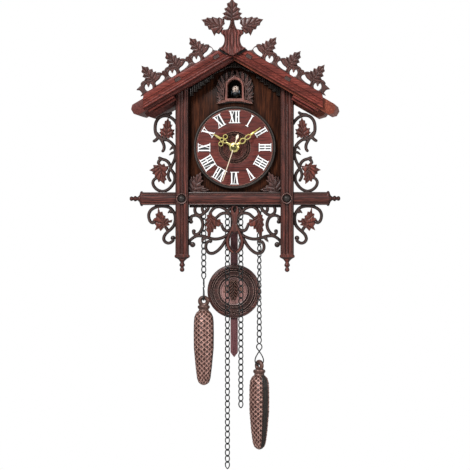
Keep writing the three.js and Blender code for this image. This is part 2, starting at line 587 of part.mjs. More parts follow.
function buildMovement() {
  const { half, front, back, wall } = MOVEMENT;
  const shell = cut(
    box([-half, half], [front, back], [-half, half]),
    box([wall - half, half - wall], [front + wall, back + 1], [wall - half, half - wall]),
  );
  const bush = disc(0, 0, SHAFT.bushOut, front + wall, HAND_Y.hour + 0.7, 16);
  add('movement_case', cut(join(shell, bush), disc(0, 0, SHAFT.bushIn, 0, -90, 16)), BLACK_PLASTIC);

  const cover = plate([[-half, -half], [half, -half], [half, half], [-half, half]], back + 1.8, back + GAP, [
    circle(0, KNOB_Z, 1.4, 12),
  ]);
  add('movement_cover', cover, BLACK_PLASTIC);

  // Ratios: third wheel -45/6, seconds 60, motion wheel -8/24, hour wheel 1/12, knob 1.
  const thirdPinion = (TRAIN * 6) / 51;
  const secondPinion = (TRAIN * 6) / 54;
  const cannon = (MOTION * 8) / 32;
  const motionPinion = (MOTION * 6) / 30;
  const third = [TRAIN * Math.SQRT1_2, TRAIN * Math.SQRT1_2];

  const minuteTube = [
    [SHAFT.minuteIn, -47.9], [SHAFT.minuteIn, -75.6], [SHAFT.minuteOut, -75.6], [SHAFT.minuteOut, -47.9],
  ];
  const centre = join(
    wheel(0, 0, TRAIN - thirdPinion, 45, 45, WHEEL.centreY),
    wheel(0, 0, cannon, 8, 270, WHEEL.motionY),
    disc(0, 0, 1.6, WHEEL.centreY, WHEEL.motionY, 12),
    onShaft([...minuteTube, minuteTube[0]], 16),
  );
  add('centre_wheel', cut(centre, disc(0, 0, SHAFT.minuteIn, 0, -90, 16)), BRASS);

  const hourTube = [[SHAFT.hourIn, -52.9], [SHAFT.hourIn, -73], [SHAFT.hourOut, -73], [SHAFT.hourOut, -52.9]];
  const hour = join(
    wheel(0, 0, MOTION - motionPinion, 24, 270, WHEEL.hourY),
    onShaft([...hourTube, hourTube[0]], 16),
  );
  add('hour_wheel', cut(hour, disc(0, 0, SHAFT.hourIn, 0, -90, 16)), BRASS);

  const second = join(
    wheel(0, 0, secondPinion, 6, 45, WHEEL.thirdY),
    rod(0, 0, SHAFT.seconds, -42, HAND_Y.second - 1.4),
  );
  add('second_wheel', second, STEEL);

  const thirdWheel = join(
    wheel(...third, TRAIN - secondPinion, 48, 225 + 180 / 48, WHEEL.thirdY),
    wheel(...third, thirdPinion, 6, 225 + 30, WHEEL.centreY),
    rod(...third, 0.7, -42, -53.8),
  );
  add('third_wheel', thirdWheel, BRASS);

  const motion = join(
    wheel(0, -MOTION, MOTION - cannon, 24, 90 + 7.5, WHEEL.motionY),
    wheel(0, -MOTION, motionPinion, 6, 90 + 30, WHEEL.hourY),
    rod(0, -MOTION, 0.8, WHEEL.motionY + 1, -54),
  );
  add('motion_wheel', motion, BRASS);

  const knobPinion = -MOTION - (MOTION - cannon) - KNOB_Z;
  const knob = join(
    wheel(0, KNOB_Z, knobPinion, 8, 90, WHEEL.motionY),
    rod(0, KNOB_Z, 1.1, -2, -53.6),
    disc(0, KNOB_Z, 6.5, -0.6, -5, 18),
  );
  add('set_knob', knob, BLACK_PLASTIC);
}

// ---------------------------------------------------------------- pendulum
function buildPendulum() {
  const { x, y, pivot, half, tip, disc: discZ, radius } = PENDULUM;
  const plateBack = MOVEMENT.back + 1.8 + GAP;
  const bracket = join(
    box([x - 6, x + 6], [plateBack, plateBack + 1.5], [pivot - 2.5, -22]),
    rod(x, pivot, 1.2, y + 3, plateBack + 0.5),
    disc(x, pivot, 2.6, y + 4, y + 2.4, 12),
  );
  add('pendulum_bracket', bracket, STEEL);

  const strip = [
    [-half, pivot - 8], [-2.2, pivot], [2.2, pivot], [half, pivot - 8], [half, tip + 5.6], [0, tip],
    [-half, tip + 5.6],
  ];
  const eye = disc(0, pivot, 3.4, y + 1.2, y - 1.2, 14);
  const lath = cut(join(plate(strip, y + 1.2, y - 1.2), eye), disc(0, pivot, 1.6, 0, -40, 14));
  add('pendulum_rod', lath.translate(x, 0, 0), DARK_WOOD);

  const face = y - 1.5;
  const rings = [
    [0, face], [radius, face], [radius, face - 3], [29.5, face - 4.6], [28, face - 3.2], [25, face - 4.6],
    [23.5, face - 3.2], [20.5, face - 4.6], [18.5, face - 2.6], [0, face - 2.6],
  ];
  add('pendulum_disc', turned(rings, 36, 'y').translate(x, 0, discZ), COPPER);
}

// ---------------------------------------------------------------- chains, hooks and weights
function buildChains() {
  add('chain_bar', new THREE.CylinderGeometry(1.5, 1.5, 2 * INNER, 10).rotateZ(Math.PI / 2)
    .translate(0, CHAIN.y, CHAIN.bar), STEEL);
  for (const [name, { x, end }] of Object.entries(STRANDS)) {
    const length = CHAIN.top - end;
    const strand = new THREE.CylinderGeometry(CHAIN.radius, CHAIN.radius, length, 8).rotateX(Math.PI / 2);
    add(name, strand.translate(x, CHAIN.y, CHAIN.top - length / 2), GUNMETAL);
  }
}

// A wire figure of eight. Its origin is the middle of the ring that it carries, below its crossing.
function wireHook() {
  const lower = [
    [0, -4], [3.2, -4], [5.3, -2.2], [5.6, 2.2], [3.7, 7.5], [0.5, 12], [-0.5, 12], [-3.7, 7.5], [-5.6, 2.2],
    [-5.3, -2.2], [-3.2, -4],
  ];
  const upper = [
    [0.5, 12.6], [2.4, 15], [3.1, 18], [1.8, 21.2], [0, 22], [-1.8, 21.2], [-3.1, 18], [-2.4, 15],
    [-0.5, 12.6],
  ];
  const wire = 0.65;
  return join(
    band(lower, [wire, wire], wire, -wire, { steps: 18, closed: true }),
    band(upper, [wire, wire], wire, -wire, { steps: 14, closed: true }),
    disc(0, 12.3, 0.9, wire, -wire, 8),
  );
}

function buildWeights() {
  const { radius, tube } = CONE_RING;
  const neck = -radius - 5; // height of the top of the body below the middle of the ring's tube
  const body = [
    [0, 0.6], [5.4, 0], [8.5, -2.5], [11.8, -9], [12.6, -18], [12.6, -48], [11, -66], [9.2, -83], [8, -91.5],
    [5, -95.3], [0, -96.6],
  ];
  for (const [name, { x, top, turn }] of Object.entries(CONES)) {
    const hang = top - tube;
    const hook = wireHook().rotateZ(name === 'left' ? Math.PI / 2 : 0);
    add(`hook_${name}`, hook.translate(x, CHAIN.y, hang), STEEL);

    const ring = new THREE.TorusGeometry(radius, tube, 8, 14).rotateX(Math.PI / 2).translate(0, 0, -radius);
    const scales = turned(body, 16).scale(1, CONE_FLAT, 1).translate(0, 0, neck);
    const cone = join(geometryOf(solidOf(ring)), scales);
    cone.rotateZ(THREE.MathUtils.degToRad(turn));
    add(`cone_${name}`, cone.translate(x, CHAIN.y, hang), COPPER);
  }
}

// ---------------------------------------------------------------- bird and its drive
const ball = (x, y, z, radii) => new THREE.SphereGeometry(1, 9, 6).scale(...radii).translate(x, y, z);

function buildBird() {
  const beak = (z, tilt) =>
    new THREE.ConeGeometry(1.1, 4, 8).rotateX(-Math.PI / 2 + tilt).translate(0, -56.9, z);
  const bird = join(
    ball(0, -47, 65, [5, 8.6, 4.6]),
    ball(0, -52.4, 71.2, [3.9, 3.9, 4]),
    ball(0, -50.6, 67.5, [3.2, 3.2, 3.4]),
    beak(72.2, -0.18), beak(70.2, 0.18),
    ball(-5.2, -47, 63.6, [2.2, 6.4, 3]),
    ball(5.2, -47, 63.6, [2.2, 6.4, 3]),
    box([-2.4, 2.4], [-42, -32], [65, 66.6]),
  );
  add('bird', bird, CREAM);

  const pitch = (2 * Math.PI * PINION.radius) / PINION.teeth;
  const faceX = PINION.x - PINION.radius;
  const depth = (PINION.radius * 2) / PINION.teeth;
  const rackTeeth = [];
  for (let i = -4; i <= 7; i += 1) {
    const y = PINION.y + i * pitch;
    const corners = [[-1.1, -0.34], [0.7, -0.12], [0.7, 0.12], [-1.1, 0.34]];
    rackTeeth.push(...corners.map(([out, along]) => [faceX + out * depth, y + along * pitch]));
  }
  const root = faceX - 1.1 * depth;
  const rackOutline = [[-6, -43], [root, -43], ...rackTeeth, [root, -12], [-6, -12]];
  const rack = slab(rackOutline, SHELF.top + GAP, SHELF.top + 2.8);
  add('bird_carriage', join(rack, box([-1.4, 1.4], [-42.6, -40], [SHELF.top + 2, 60.1])), WHITE_PLASTIC);

  const pinionShape = gearOutline(PINION.x, PINION.y, PINION.radius, PINION.teeth, 180 + 180 / PINION.teeth);
  const shaft = new THREE.CylinderGeometry(0.9, 0.9, 10, 10).rotateX(Math.PI / 2)
    .translate(PINION.x, PINION.y, 52);
  add('bird_pinion', join(slab(pinionShape, SHELF.top + GAP, SHELF.top + 2.8), shaft), WHITE_PLASTIC);

  const shelfBottom = SHELF.top - SHELF.thick;
  const shaftHole = new THREE.CylinderGeometry(1.3, 1.3, 30, 12).rotateX(Math.PI / 2)
    .translate(PINION.x, PINION.y, 55);
  const shelf = box([-INNER, INNER], [-55.7, -5], [shelfBottom, SHELF.top]);
  add('module_shelf', cut(shelf, shaftHole), PLAIN_WOOD);
  const motorTop = shelfBottom - GAP;
  const motor = box([PINION.x - 8, PINION.x + 8], [-36, -21], [motorTop - 14, motorTop]);
  add('bird_motor', cut(motor, shaftHole.clone().translate(0, 0, 6)), BLACK_PLASTIC);
}

// ---------------------------------------------------------------- electric pieces
function buildElectrics() {
  const top = SHELF.top - SHELF.thick - GAP;
  const tray = cut(
    box([-30, 30], [-20, -4], [top - 19, top]),
    box([-28.4, 28.4], [-18.6, -3], [top - 17.4, top - 1.6]),
  );
  add('battery_box', tray, BLACK_PLASTIC);
  const cellZ = top - 9.5;
  const cell = new THREE.CylinderGeometry(7.1, 7.1, 49, 20).rotateZ(Math.PI / 2);
  const cap = new THREE.CylinderGeometry(2.7, 2.7, 3, 12).rotateZ(Math.PI / 2).translate(25, 0, 0);
  add('battery', join(cell, cap).translate(-0.8, -11.2, cellZ), CELL);

  const speaker = turned([[0, 0], [17, 0], [17, 2.4], [14.5, 3.2], [9, 8], [9, 10], [0, 10]], 24);
  add('speaker', speaker.rotateY(-Math.PI / 2).translate(INNER, -28, 0), BLACK_PLASTIC);

  const board = box([-52.4, -50.8], [-46, -8], [-20, 32]);
  const posts = [[-42, -16], [-42, 28], [-12, -16], [-12, 28]].map(([y, z]) =>
    new THREE.CylinderGeometry(1.6, 1.6, 4, 8).rotateZ(Math.PI / 2).translate(-53.7, y, z));
  add('circuit_board', join(board, ...posts), GREEN_BOARD);
  const lever = join(
    box([-62.4, -53], [-35, -31], [16.2, 19.8]),
    box([-54.4, -52.8], [-36.5, -29.5], [14.6, 21.4]),
  );
  add('mode_switch', lever, WHITE_PLASTIC);
}

// ---------------------------------------------------------------- the clock
buildCase();
for (const [side, name] of [[-1, 'left'], [1, 'right']]) {
  buildRoof(side, name);
  buildBargeboard(side, name);
  buildPost(side, name);
  buildUpperVine(side, name);
  buildLowerVine(side, name);
  buildCornerLeaf(side, name);
}
buildFinial();
buildFringe();
buildCrossbar();
buildApron();
buildWindowFrame();
buildDial();
buildHands();
buildMovement();
buildPendulum();
buildChains();
buildWeights();
buildBird();
buildElectrics();

export default clock;
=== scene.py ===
"""The looks of the carved cuckoo clock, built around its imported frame. Outlines are in millimetres."""

import math

import bmesh
import bpy
import numpy as np
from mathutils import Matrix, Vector
from mathutils.geometry import delaunay_2d_cdt
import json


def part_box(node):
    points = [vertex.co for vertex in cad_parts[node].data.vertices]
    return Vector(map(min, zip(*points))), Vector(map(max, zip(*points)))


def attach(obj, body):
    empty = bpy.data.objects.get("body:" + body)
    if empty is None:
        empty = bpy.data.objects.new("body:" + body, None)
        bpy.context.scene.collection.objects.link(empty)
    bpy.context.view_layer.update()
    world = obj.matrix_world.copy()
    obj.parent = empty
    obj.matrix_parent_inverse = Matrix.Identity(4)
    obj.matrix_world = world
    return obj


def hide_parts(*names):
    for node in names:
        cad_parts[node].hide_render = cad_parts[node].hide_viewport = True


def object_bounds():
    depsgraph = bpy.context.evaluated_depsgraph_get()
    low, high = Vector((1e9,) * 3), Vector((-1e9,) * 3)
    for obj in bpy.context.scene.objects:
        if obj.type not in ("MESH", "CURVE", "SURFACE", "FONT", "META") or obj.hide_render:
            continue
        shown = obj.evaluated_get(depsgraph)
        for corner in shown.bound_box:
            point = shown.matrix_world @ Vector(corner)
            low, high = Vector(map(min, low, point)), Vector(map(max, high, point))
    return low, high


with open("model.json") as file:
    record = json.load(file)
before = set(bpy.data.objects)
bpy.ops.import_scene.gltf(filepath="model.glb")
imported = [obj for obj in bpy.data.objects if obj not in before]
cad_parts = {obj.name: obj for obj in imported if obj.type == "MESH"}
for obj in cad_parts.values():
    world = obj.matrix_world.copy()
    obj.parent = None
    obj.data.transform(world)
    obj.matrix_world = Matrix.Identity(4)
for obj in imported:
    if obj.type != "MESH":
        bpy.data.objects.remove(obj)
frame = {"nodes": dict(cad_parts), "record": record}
cad_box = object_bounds()

MM = 0.001
SIDES = ((-1, "left"), (1, "right"))
PITCH = math.radians(30)


# ---------------------------------------------------------------- places taken from the frame
def span(node, axis):
    """Lowest and highest value of a CAD node along one axis, in millimetres."""
    low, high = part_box(node)
    return low[axis] / MM, high[axis] / MM


def depths(node):
    """(back, front) of a CAD node: its largest and smallest y, in millimetres."""
    low, high = span(node, 1)
    return high, low


def middle(node):
    """The middle of a CAD node's box, in millimetres."""
    low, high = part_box(node)
    return [(low[axis] + high[axis]) / 2 / MM for axis in range(3)]


DIAL_BACK, DIAL_FRONT = depths("dial")
DIAL_RADIUS = span("dial", 0)[1]
TRIM_BACK, TRIM_FRONT = depths("vine_upper_right")


# ---------------------------------------------------------------- camera, light and floor
VIEW_WIDTH = 0.564
VIEW_AZIMUTH = math.radians(5)
VIEW_CENTRE = Vector((0.0006, DIAL_FRONT * MM, -0.105))
VIEW_DISTANCE = 3.5
AMBIENT = 0.42  # soft light from all round; the camera itself sees a white backdrop
LIT_POINT = Vector((0, -0.05, -0.05))
LIGHTS = (  # name, place, width and power
    ("key", (-0.6, -1.6, 1.0), 0.5, 36), ("fill", (1.5, -1.3, 0.3), 0.8, 12),
    ("rim", (-0.3, 1.2, 1.2), 0.8, 6),
)
FLOOR_HALF, FLOOR_DROP = 4, 0.8


def add_camera():
    data = bpy.data.cameras.new("camera")
    data.sensor_width = 36
    data.lens = data.sensor_width * VIEW_DISTANCE / VIEW_WIDTH
    data.clip_end = 50
    camera = bpy.data.objects.new("camera", data)
    away = Vector((math.sin(VIEW_AZIMUTH), -math.cos(VIEW_AZIMUTH), 0))
    camera.location = VIEW_CENTRE + away * VIEW_DISTANCE
    camera.rotation_euler = (math.pi / 2, 0, VIEW_AZIMUTH)
    bpy.context.scene.collection.objects.link(camera)
    bpy.context.scene.camera = camera


def add_area_light(name, place, size, power):
    data = bpy.data.lights.new(name, "AREA")
    data.shape = "DISK"
    data.size = size
    data.energy = power
    light = bpy.data.objects.new(name, data)
    light.location = place
    light.rotation_euler = (LIT_POINT - Vector(place)).to_track_quat("-Z", "Y").to_euler()
    bpy.context.scene.collection.objects.link(light)


def add_studio():
    world = bpy.data.worlds.new("studio")
    bpy.context.scene.world = world
    world.use_nodes = True
    tree = world.node_tree
    backdrop = tree.nodes["Background"]
    backdrop.inputs["Color"].default_value = (1, 1, 1, 1)
    ambient = tree.nodes.new("ShaderNodeBackground")
    ambient.inputs["Color"].default_value = (1, 0.97, 0.95, 1)
    ambient.inputs["Strength"].default_value = AMBIENT
    seen = tree.nodes.new("ShaderNodeLightPath")
    blend = tree.nodes.new("ShaderNodeMixShader")
    tree.links.new(seen.outputs["Is Camera Ray"], blend.inputs["Fac"])
    tree.links.new(ambient.outputs[0], blend.inputs[1])
    tree.links.new(backdrop.outputs[0], blend.inputs[2])
    tree.links.new(blend.outputs[0], tree.nodes["World Output"].inputs["Surface"])
    for light in LIGHTS:
        add_area_light(*light)
    bpy.context.scene.view_settings.view_transform = "Standard"
    floor_mesh = bpy.data.meshes.new("floor")
    floor_z = cad_box[0].z - FLOOR_DROP
    corners = [(FLOOR_HALF * x, FLOOR_HALF * y, floor_z) for x, y in ((-1, -1), (1, -1), (1, 1), (-1, 1))]
    floor_mesh.from_pydata(corners, [], [(0, 1, 2, 3)])
    floor = bpy.data.objects.new("floor", floor_mesh)
    bpy.context.scene.collection.objects.link(floor)
    floor.data.materials.append(plain_material("pale_floor", (0.86, 0.86, 0.86), 0.9))


# ---------------------------------------------------------------- material building
class Nodes:
    """A short way to write a node tree: each call adds a node, sets its values and joins its inputs."""

    def __init__(self, name):
        self.material = bpy.data.materials.new(name)
        self.material.use_nodes = True
        self.tree = self.material.node_tree
        self.shader = self.tree.nodes["Principled BSDF"]

    def add(self, kind, inputs=None, **settings):
        node = self.tree.nodes.new(kind)
        for key, value in settings.items():
            setattr(node, key, value)
        for key, value in (inputs or {}).items():
            self.join(value, node.inputs[key])
        return node

    def join(self, value, socket):
        if isinstance(value, bpy.types.NodeSocket):
            self.tree.links.new(value, socket)
        else:
            socket.default_value = value

    def ramp(self, value, stops):
        node = self.add("ShaderNodeValToRGB", {"Fac": value})
        elements = node.color_ramp.elements
        while len(elements) < len(stops):
            elements.new(0.5)
        for element, (position, color) in zip(elements, stops):
            element.position = position
            element.color = (*color, 1) if isinstance(color, tuple) else (color, color, color, 1)
        return node.outputs["Color"]

    def mix(self, factor, a, b, blend="MIX"):
        node = self.add("ShaderNodeMix", data_type="RGBA", blend_type=blend)
        self.join(factor, node.inputs[0])
        self.join(a if isinstance(a, bpy.types.NodeSocket) else (*a, 1), node.inputs[6])
        self.join(b if isinstance(b, bpy.types.NodeSocket) else (*b, 1), node.inputs[7])
        return node.outputs[2]

    def noise(self, vector, scale, detail=4, rough=0.55):
        inputs = {"Vector": vector, "Scale": scale, "Detail": detail, "Roughness": rough}
        return self.add("ShaderNodeTexNoise", inputs).outputs["Fac"]

    def coordinates(self, scale=(1, 1, 1)):
        place = self.add("ShaderNodeTexCoord").outputs["Object"]
        inputs = {"Vector": place, "Scale": scale}
        return self.add("ShaderNodeMapping", inputs).outputs["Vector"]

    def math(self, operation, a, b):
        return self.add("ShaderNodeMath", {0: a, 1: b}, operation=operation).outputs[0]

    def bump(self, height, strength, distance):
        inputs = {"Height": height, "Strength": strength, "Distance": distance}
        return self.add("ShaderNodeBump", inputs).outputs["Normal"]

    def edges(self, radius=0.0007, low=0.02, high=0.3):
        """0 on flats and smooth curves, 1 along sharp edges."""
        soft = self.add("ShaderNodeBevel", {"Radius": radius}, samples=4).outputs["Normal"]
        true = self.add("ShaderNodeNewGeometry").outputs["Normal"]
        match = self.add("ShaderNodeVectorMath", {0: soft, 1: true},
                         operation="DOT_PRODUCT").outputs["Value"]
        turned = self.math("SUBTRACT", 1.0, match)
        return self.ramp(turned, [(low, 0.0), (high, 1.0)])

    def open_air(self, reach=0.006, low=0.25, high=0.85):
        """0 deep in hollows and corners, 1 where the surface stands free."""
        node = self.add("ShaderNodeAmbientOcclusion", {"Distance": reach}, samples=6)
        return self.ramp(node.outputs["AO"], [(low, 0.0), (high, 1.0)])

    def finish(self, **inputs):
        for key, value in inputs.items():
            self.join(value, self.shader.inputs[key.replace("_", " ")])
        return self.material


def plain_material(name, color, roughness):
    nodes = Nodes(name)
    vector = nodes.coordinates()
    tone = nodes.ramp(nodes.noise(vector, 3), [(0.3, tuple(c * 0.97 for c in color)), (0.7, color)])
    return nodes.finish(Base_Color=tone, Roughness=roughness)


def wood_material(name, dark, mid, light, edge_wear_and_highlight_colour, grain, roughness, edge_wear_and_highlight, flank_stain_and_shade, gloss=1.0):
    """Stained and varnished wood. The fibres run along `grain`; sharp edges take a lighter colour, partly
    real wear and partly painted highlight.

    Carved flanks that face sideways are darkened towards the dark colour: partly the dark stain left where
    sanding rubbed only the tops that face forward, partly painted shade.
    `gloss` scales how much the varnish shines.
    """
    nodes = Nodes(name)
    squeeze = tuple(6 if g else 90 for g in grain)
    along = nodes.coordinates(squeeze)
    fibres = nodes.noise(along, 9, 6, 0.6)
    broad = nodes.noise(nodes.coordinates(tuple(s / 6 for s in squeeze)), 4, 3, 0.5)
    pores = nodes.noise(along, 34, 3, 0.7)
    colour = nodes.ramp(fibres, [(0.3, dark), (0.5, mid), (0.72, light)])
    shade = nodes.ramp(broad, [(0.3, (0.55, 0.55, 0.55)), (0.7, (1.15, 1.1, 1.1))])
    colour = nodes.mix(1.0, colour, shade, "MULTIPLY")
    # Surfaces turned away from the front go darker: partly stain, partly painted shade.
    if flank_stain_and_shade:
        normal = nodes.add("ShaderNodeTexCoord").outputs["Normal"]
        forward = nodes.add("ShaderNodeSeparateXYZ", {0: normal}).outputs["Y"]
        flank_stain_and_shade_mask = nodes.ramp(nodes.math("ADD", forward, 1.0),
                           [(0.03, 0.0), (0.45, flank_stain_and_shade)])
        colour = nodes.mix(flank_stain_and_shade_mask, colour, tuple(0.5 * c for c in dark))
    # Sharp edges take the lighter edge colour: partly real wear, partly painted highlight.
    edge = nodes.edges()
    edge_wear_and_highlight_mask = nodes.math("MULTIPLY", edge, edge_wear_and_highlight)
    colour = nodes.mix(edge_wear_and_highlight_mask, colour, edge_wear_and_highlight_colour)
    # Hollows and corners go darker: painted shade.
    colour = nodes.mix(nodes.open_air(), tuple(0.35 * c for c in dark), colour)
    rough = nodes.ramp(pores, [(0.35, roughness + 0.16), (0.65, roughness)])
    height = nodes.math("ADD", fibres, pores)
    return nodes.finish(
        Base_Color=colour, Roughness=rough, Normal=nodes.bump(height, 0.35, 0.0004),
        Specular_IOR_Level=0.4 * gloss, Coat_Weight=0.15 * gloss, Coat_Roughness=0.2,
    )


def metal_material(name, dark, light, roughness, metallic=1.0):
    nodes = Nodes(name)
    patches = nodes.noise(nodes.coordinates(), 220, 5, 0.6)
    colour = nodes.ramp(patches, [(0.32, dark), (0.68, light)])
    # Sharp edges take a colour lighter than the metal's own: painted highlight.
    colour = nodes.mix(nodes.edges(0.5, 0.6), colour, tuple(min(1.0, c * 1.35) for c in light))
    rough = nodes.ramp(patches, [(0.3, roughness + 0.14), (0.7, roughness)])
    return nodes.finish(
        Base_Color=colour, Metallic=metallic, Roughness=rough, Normal=nodes.bump(patches, 0.12, 0.0002),
    )


def bronze_material(name, dark, mid, light):
    """Cast metal under a dark patina, darker in its hollows and bright on its sharp edges. The dark in the
    hollows is partly the patina, partly painted shade; the bright edges are partly rubbing, partly painted
    highlight.
    """
    nodes = Nodes(name)
    vector = nodes.coordinates()
    cloud = nodes.noise(vector, 160, 5, 0.6)
    patina = nodes.ramp(cloud, [(0.3, dark), (0.7, mid)])
    # Hollows go darker: partly patina, partly painted shade.
    free = nodes.open_air(0.0025, 0.4, 0.9)
    colour = nodes.mix(free, tuple(0.3 * c for c in dark), patina)
    # Sharp edges go bright: partly rubbing, partly painted highlight.
    rubbed_and_highlit = nodes.math("MULTIPLY", nodes.edges(0.0006, 0.01, 0.2), 0.8)
    colour = nodes.mix(rubbed_and_highlit, colour, light)
    rough = nodes.ramp(cloud, [(0.3, 0.5), (0.7, 0.3)])
    return nodes.finish(
        Base_Color=colour, Metallic=0.5, Roughness=rough, Normal=nodes.bump(cloud, 0.2, 0.0003),
    )


def scale_material(name, dark, mid, light, seam_tone):
    """Cast cone scales, each from painted shade under its neighbour to a painted highlight at its lip,
    partly the real rubbed patina. The seams are plain.
    """
    nodes = Nodes(name)
    lip = nodes.add("ShaderNodeAttribute", attribute_name="lip").outputs["Fac"]
    seam = nodes.add("ShaderNodeAttribute", attribute_name="seam").outputs["Fac"]
    cloud = nodes.noise(nodes.coordinates(), 420, 4, 0.6)
    uneven = nodes.ramp(cloud, [(0.3, 0.0), (0.7, 0.3)])
    # The lip mark sets painted highlight at each lip and painted shade under it, partly the real rubbed
    # patina.
    height = nodes.math("SUBTRACT", lip, uneven)
    colour = nodes.ramp(height, [(0.26, dark), (0.56, mid), (0.88, light)])
    colour = nodes.mix(seam, colour, seam_tone)
    # Hollows go darker: painted shade.
    free = nodes.open_air(0.002, 0.3, 0.85)
    colour = nodes.mix(free, tuple(0.4 * c for c in dark), colour)
    rough = nodes.ramp(cloud, [(0.3, 0.5), (0.7, 0.34)])
    return nodes.finish(
        Base_Color=colour, Metallic=0.4, Roughness=rough, Normal=nodes.bump(cloud, 0.2, 0.0002),
    )


def plastic_material(name, color, roughness, speckle=0.06):
    nodes = Nodes(name)
    grain = nodes.noise(nodes.coordinates(), 900, 3, 0.6)
    low = tuple(max(0.0, c * (1 - speckle) - 0.004) for c in color)
    colour = nodes.ramp(grain, [(0.35, low), (0.65, color)])
    rough = nodes.ramp(grain, [(0.35, roughness + 0.08), (0.65, roughness)])
    return nodes.finish(Base_Color=colour, Roughness=rough, Normal=nodes.bump(grain, 0.15, 0.0001))


ALONG_X, ALONG_Y, ALONG_Z = (1, 0, 0), (0, 1, 0), (0, 0, 1)
# Of each wood: dark, middle and light colours, the edge colour (partly wear, partly painted highlight),
# fibre direction, roughness, how strongly edges take it, how much carved flanks darken (partly stain,
# partly painted shade), gloss.
WOODS = {
    "mahogany": ((0.05, 0.009, 0.007), (0.16, 0.028, 0.02), (0.33, 0.077, 0.053), (0.42, 0.15, 0.12),
        ALONG_X, 0.5, 0.28, 0.6, 0.45),
    "dark_wood": ((0.018, 0.006, 0.005), (0.085, 0.018, 0.012), (0.24, 0.06, 0.04), (0.46, 0.19, 0.15),
        ALONG_Z, 0.42, 0.55, 0.9, 0.8),
    "bar_wood": ((0.016, 0.006, 0.005), (0.06, 0.014, 0.010), (0.2, 0.052, 0.035), (0.42, 0.18, 0.15),
        ALONG_X, 0.44, 0.5, 0.9, 0.6),
    "carved_wood": ((0.014, 0.008, 0.007), (0.036, 0.016, 0.013), (0.085, 0.036, 0.028), (0.36, 0.22, 0.19),
        ALONG_Z, 0.38, 0.6, 0.85),
    "vine_leaf": ((0.022, 0.007, 0.005), (0.1, 0.022, 0.014), (0.26, 0.066, 0.044), (0.45, 0.2, 0.16),
        ALONG_Z, 0.4, 0.6, 0.95, 0.8),
    "trunk_wood": ((0.03, 0.008, 0.006), (0.1, 0.024, 0.017), (0.22, 0.06, 0.042), (0.42, 0.19, 0.15),
        ALONG_Z, 0.36, 0.5, 0.9),
    "board_wood": ((0.010, 0.003, 0.0012), (0.04, 0.0115, 0.0045), (0.11, 0.034, 0.013), (0.1, 0.04, 0.022),
        ALONG_Z, 0.6, 0.2, 0.0, 0.2),
    "dial_wood": ((0.022, 0.005, 0.004), (0.115, 0.02, 0.015), (0.21, 0.042, 0.03), (0.55, 0.3, 0.24),
        ALONG_X, 0.4, 0.9, 0.98, 0.6),
    "plain_wood": ((0.30, 0.19, 0.11), (0.45, 0.31, 0.19), (0.6, 0.44, 0.29), (0.7, 0.55, 0.4),
        ALONG_Z, 0.6, 0.3, 0.0),
    "copper_wood": ((0.022, 0.009, 0.008), (0.075, 0.025, 0.02), (0.22, 0.08, 0.062), (0.75, 0.48, 0.42),
        ALONG_X, 0.32, 1.0, 0.95),
    "leaf_copper": ((0.03, 0.011, 0.008), (0.13, 0.045, 0.03), (0.3, 0.12, 0.08), (0.8, 0.5, 0.4),
        ALONG_Z, 0.34, 0.8, 0.9),
    "crest_wood": ((0.022, 0.008, 0.006), (0.075, 0.022, 0.017), (0.19, 0.06, 0.046), (0.42, 0.2, 0.165),
        ALONG_Z, 0.38, 0.55, 0.9),
    "finial_wood": ((0.05, 0.011, 0.009), (0.17, 0.038, 0.029), (0.33, 0.09, 0.07), (0.55, 0.26, 0.22),
        ALONG_Z, 0.36, 0.55, 0.8),
    "roof_wood": ((0.09, 0.02, 0.012), (0.22, 0.052, 0.029), (0.38, 0.11, 0.062), (0.46, 0.19, 0.12),
        ALONG_Y, 0.45, 0.4, 0.0, 0.5),
    "roof_wood_shaded": ((0.05, 0.013, 0.011), (0.12, 0.031, 0.025), (0.2, 0.062, 0.05), (0.34, 0.14, 0.11),
        ALONG_Y, 0.45, 0.4, 0.0, 0.5),
    "black_wood": ((0.010, 0.008, 0.007), (0.022, 0.016, 0.013), (0.05, 0.034, 0.028), (0.2, 0.15, 0.125),
        ALONG_Z, 0.4, 0.45, 0.5),
    "rim_wood": ((0.07, 0.024, 0.018), (0.2, 0.072, 0.055), (0.34, 0.13, 0.1), (0.6, 0.34, 0.28),
        ALONG_Z, 0.36, 0.6, 0.85),
    "leaf_wood": ((0.018, 0.009, 0.008), (0.06, 0.022, 0.018), (0.15, 0.055, 0.043), (0.45, 0.25, 0.21),
        ALONG_Z, 0.36, 0.65, 0.85),
    "purple_wood": ((0.08, 0.026, 0.031), (0.16, 0.056, 0.064), (0.25, 0.1, 0.11), (0.4, 0.22, 0.23),
        ALONG_Z, 0.38, 0.4, 0.0),
    "copper_bright": ((0.12, 0.055, 0.052), (0.4, 0.205, 0.185), (0.66, 0.4, 0.37), (0.88, 0.64, 0.6),
        ALONG_Z, 0.3, 0.7, 0.8),
}
# Of each metal: dark and light colours, roughness, and how metallic where it isn't wholly so.
METALS = {
    "gold": ((0.55, 0.46, 0.12), (0.84, 0.76, 0.34), 0.28),
    "pale_gold": ((0.86, 0.7, 0.5), (0.98, 0.88, 0.7), 0.4, 0.35),
    "old_gold": ((0.08, 0.075, 0.03), (0.24, 0.22, 0.1), 0.25),
    "brass": ((0.5, 0.34, 0.11), (0.75, 0.56, 0.25), 0.3),
    "gunmetal": ((0.02, 0.021, 0.022), (0.085, 0.09, 0.092), 0.36),
    "steel": ((0.22, 0.23, 0.24), (0.5, 0.51, 0.52), 0.3),
    "cell_wrap": ((0.3, 0.17, 0.05), (0.55, 0.36, 0.12), 0.3),
}
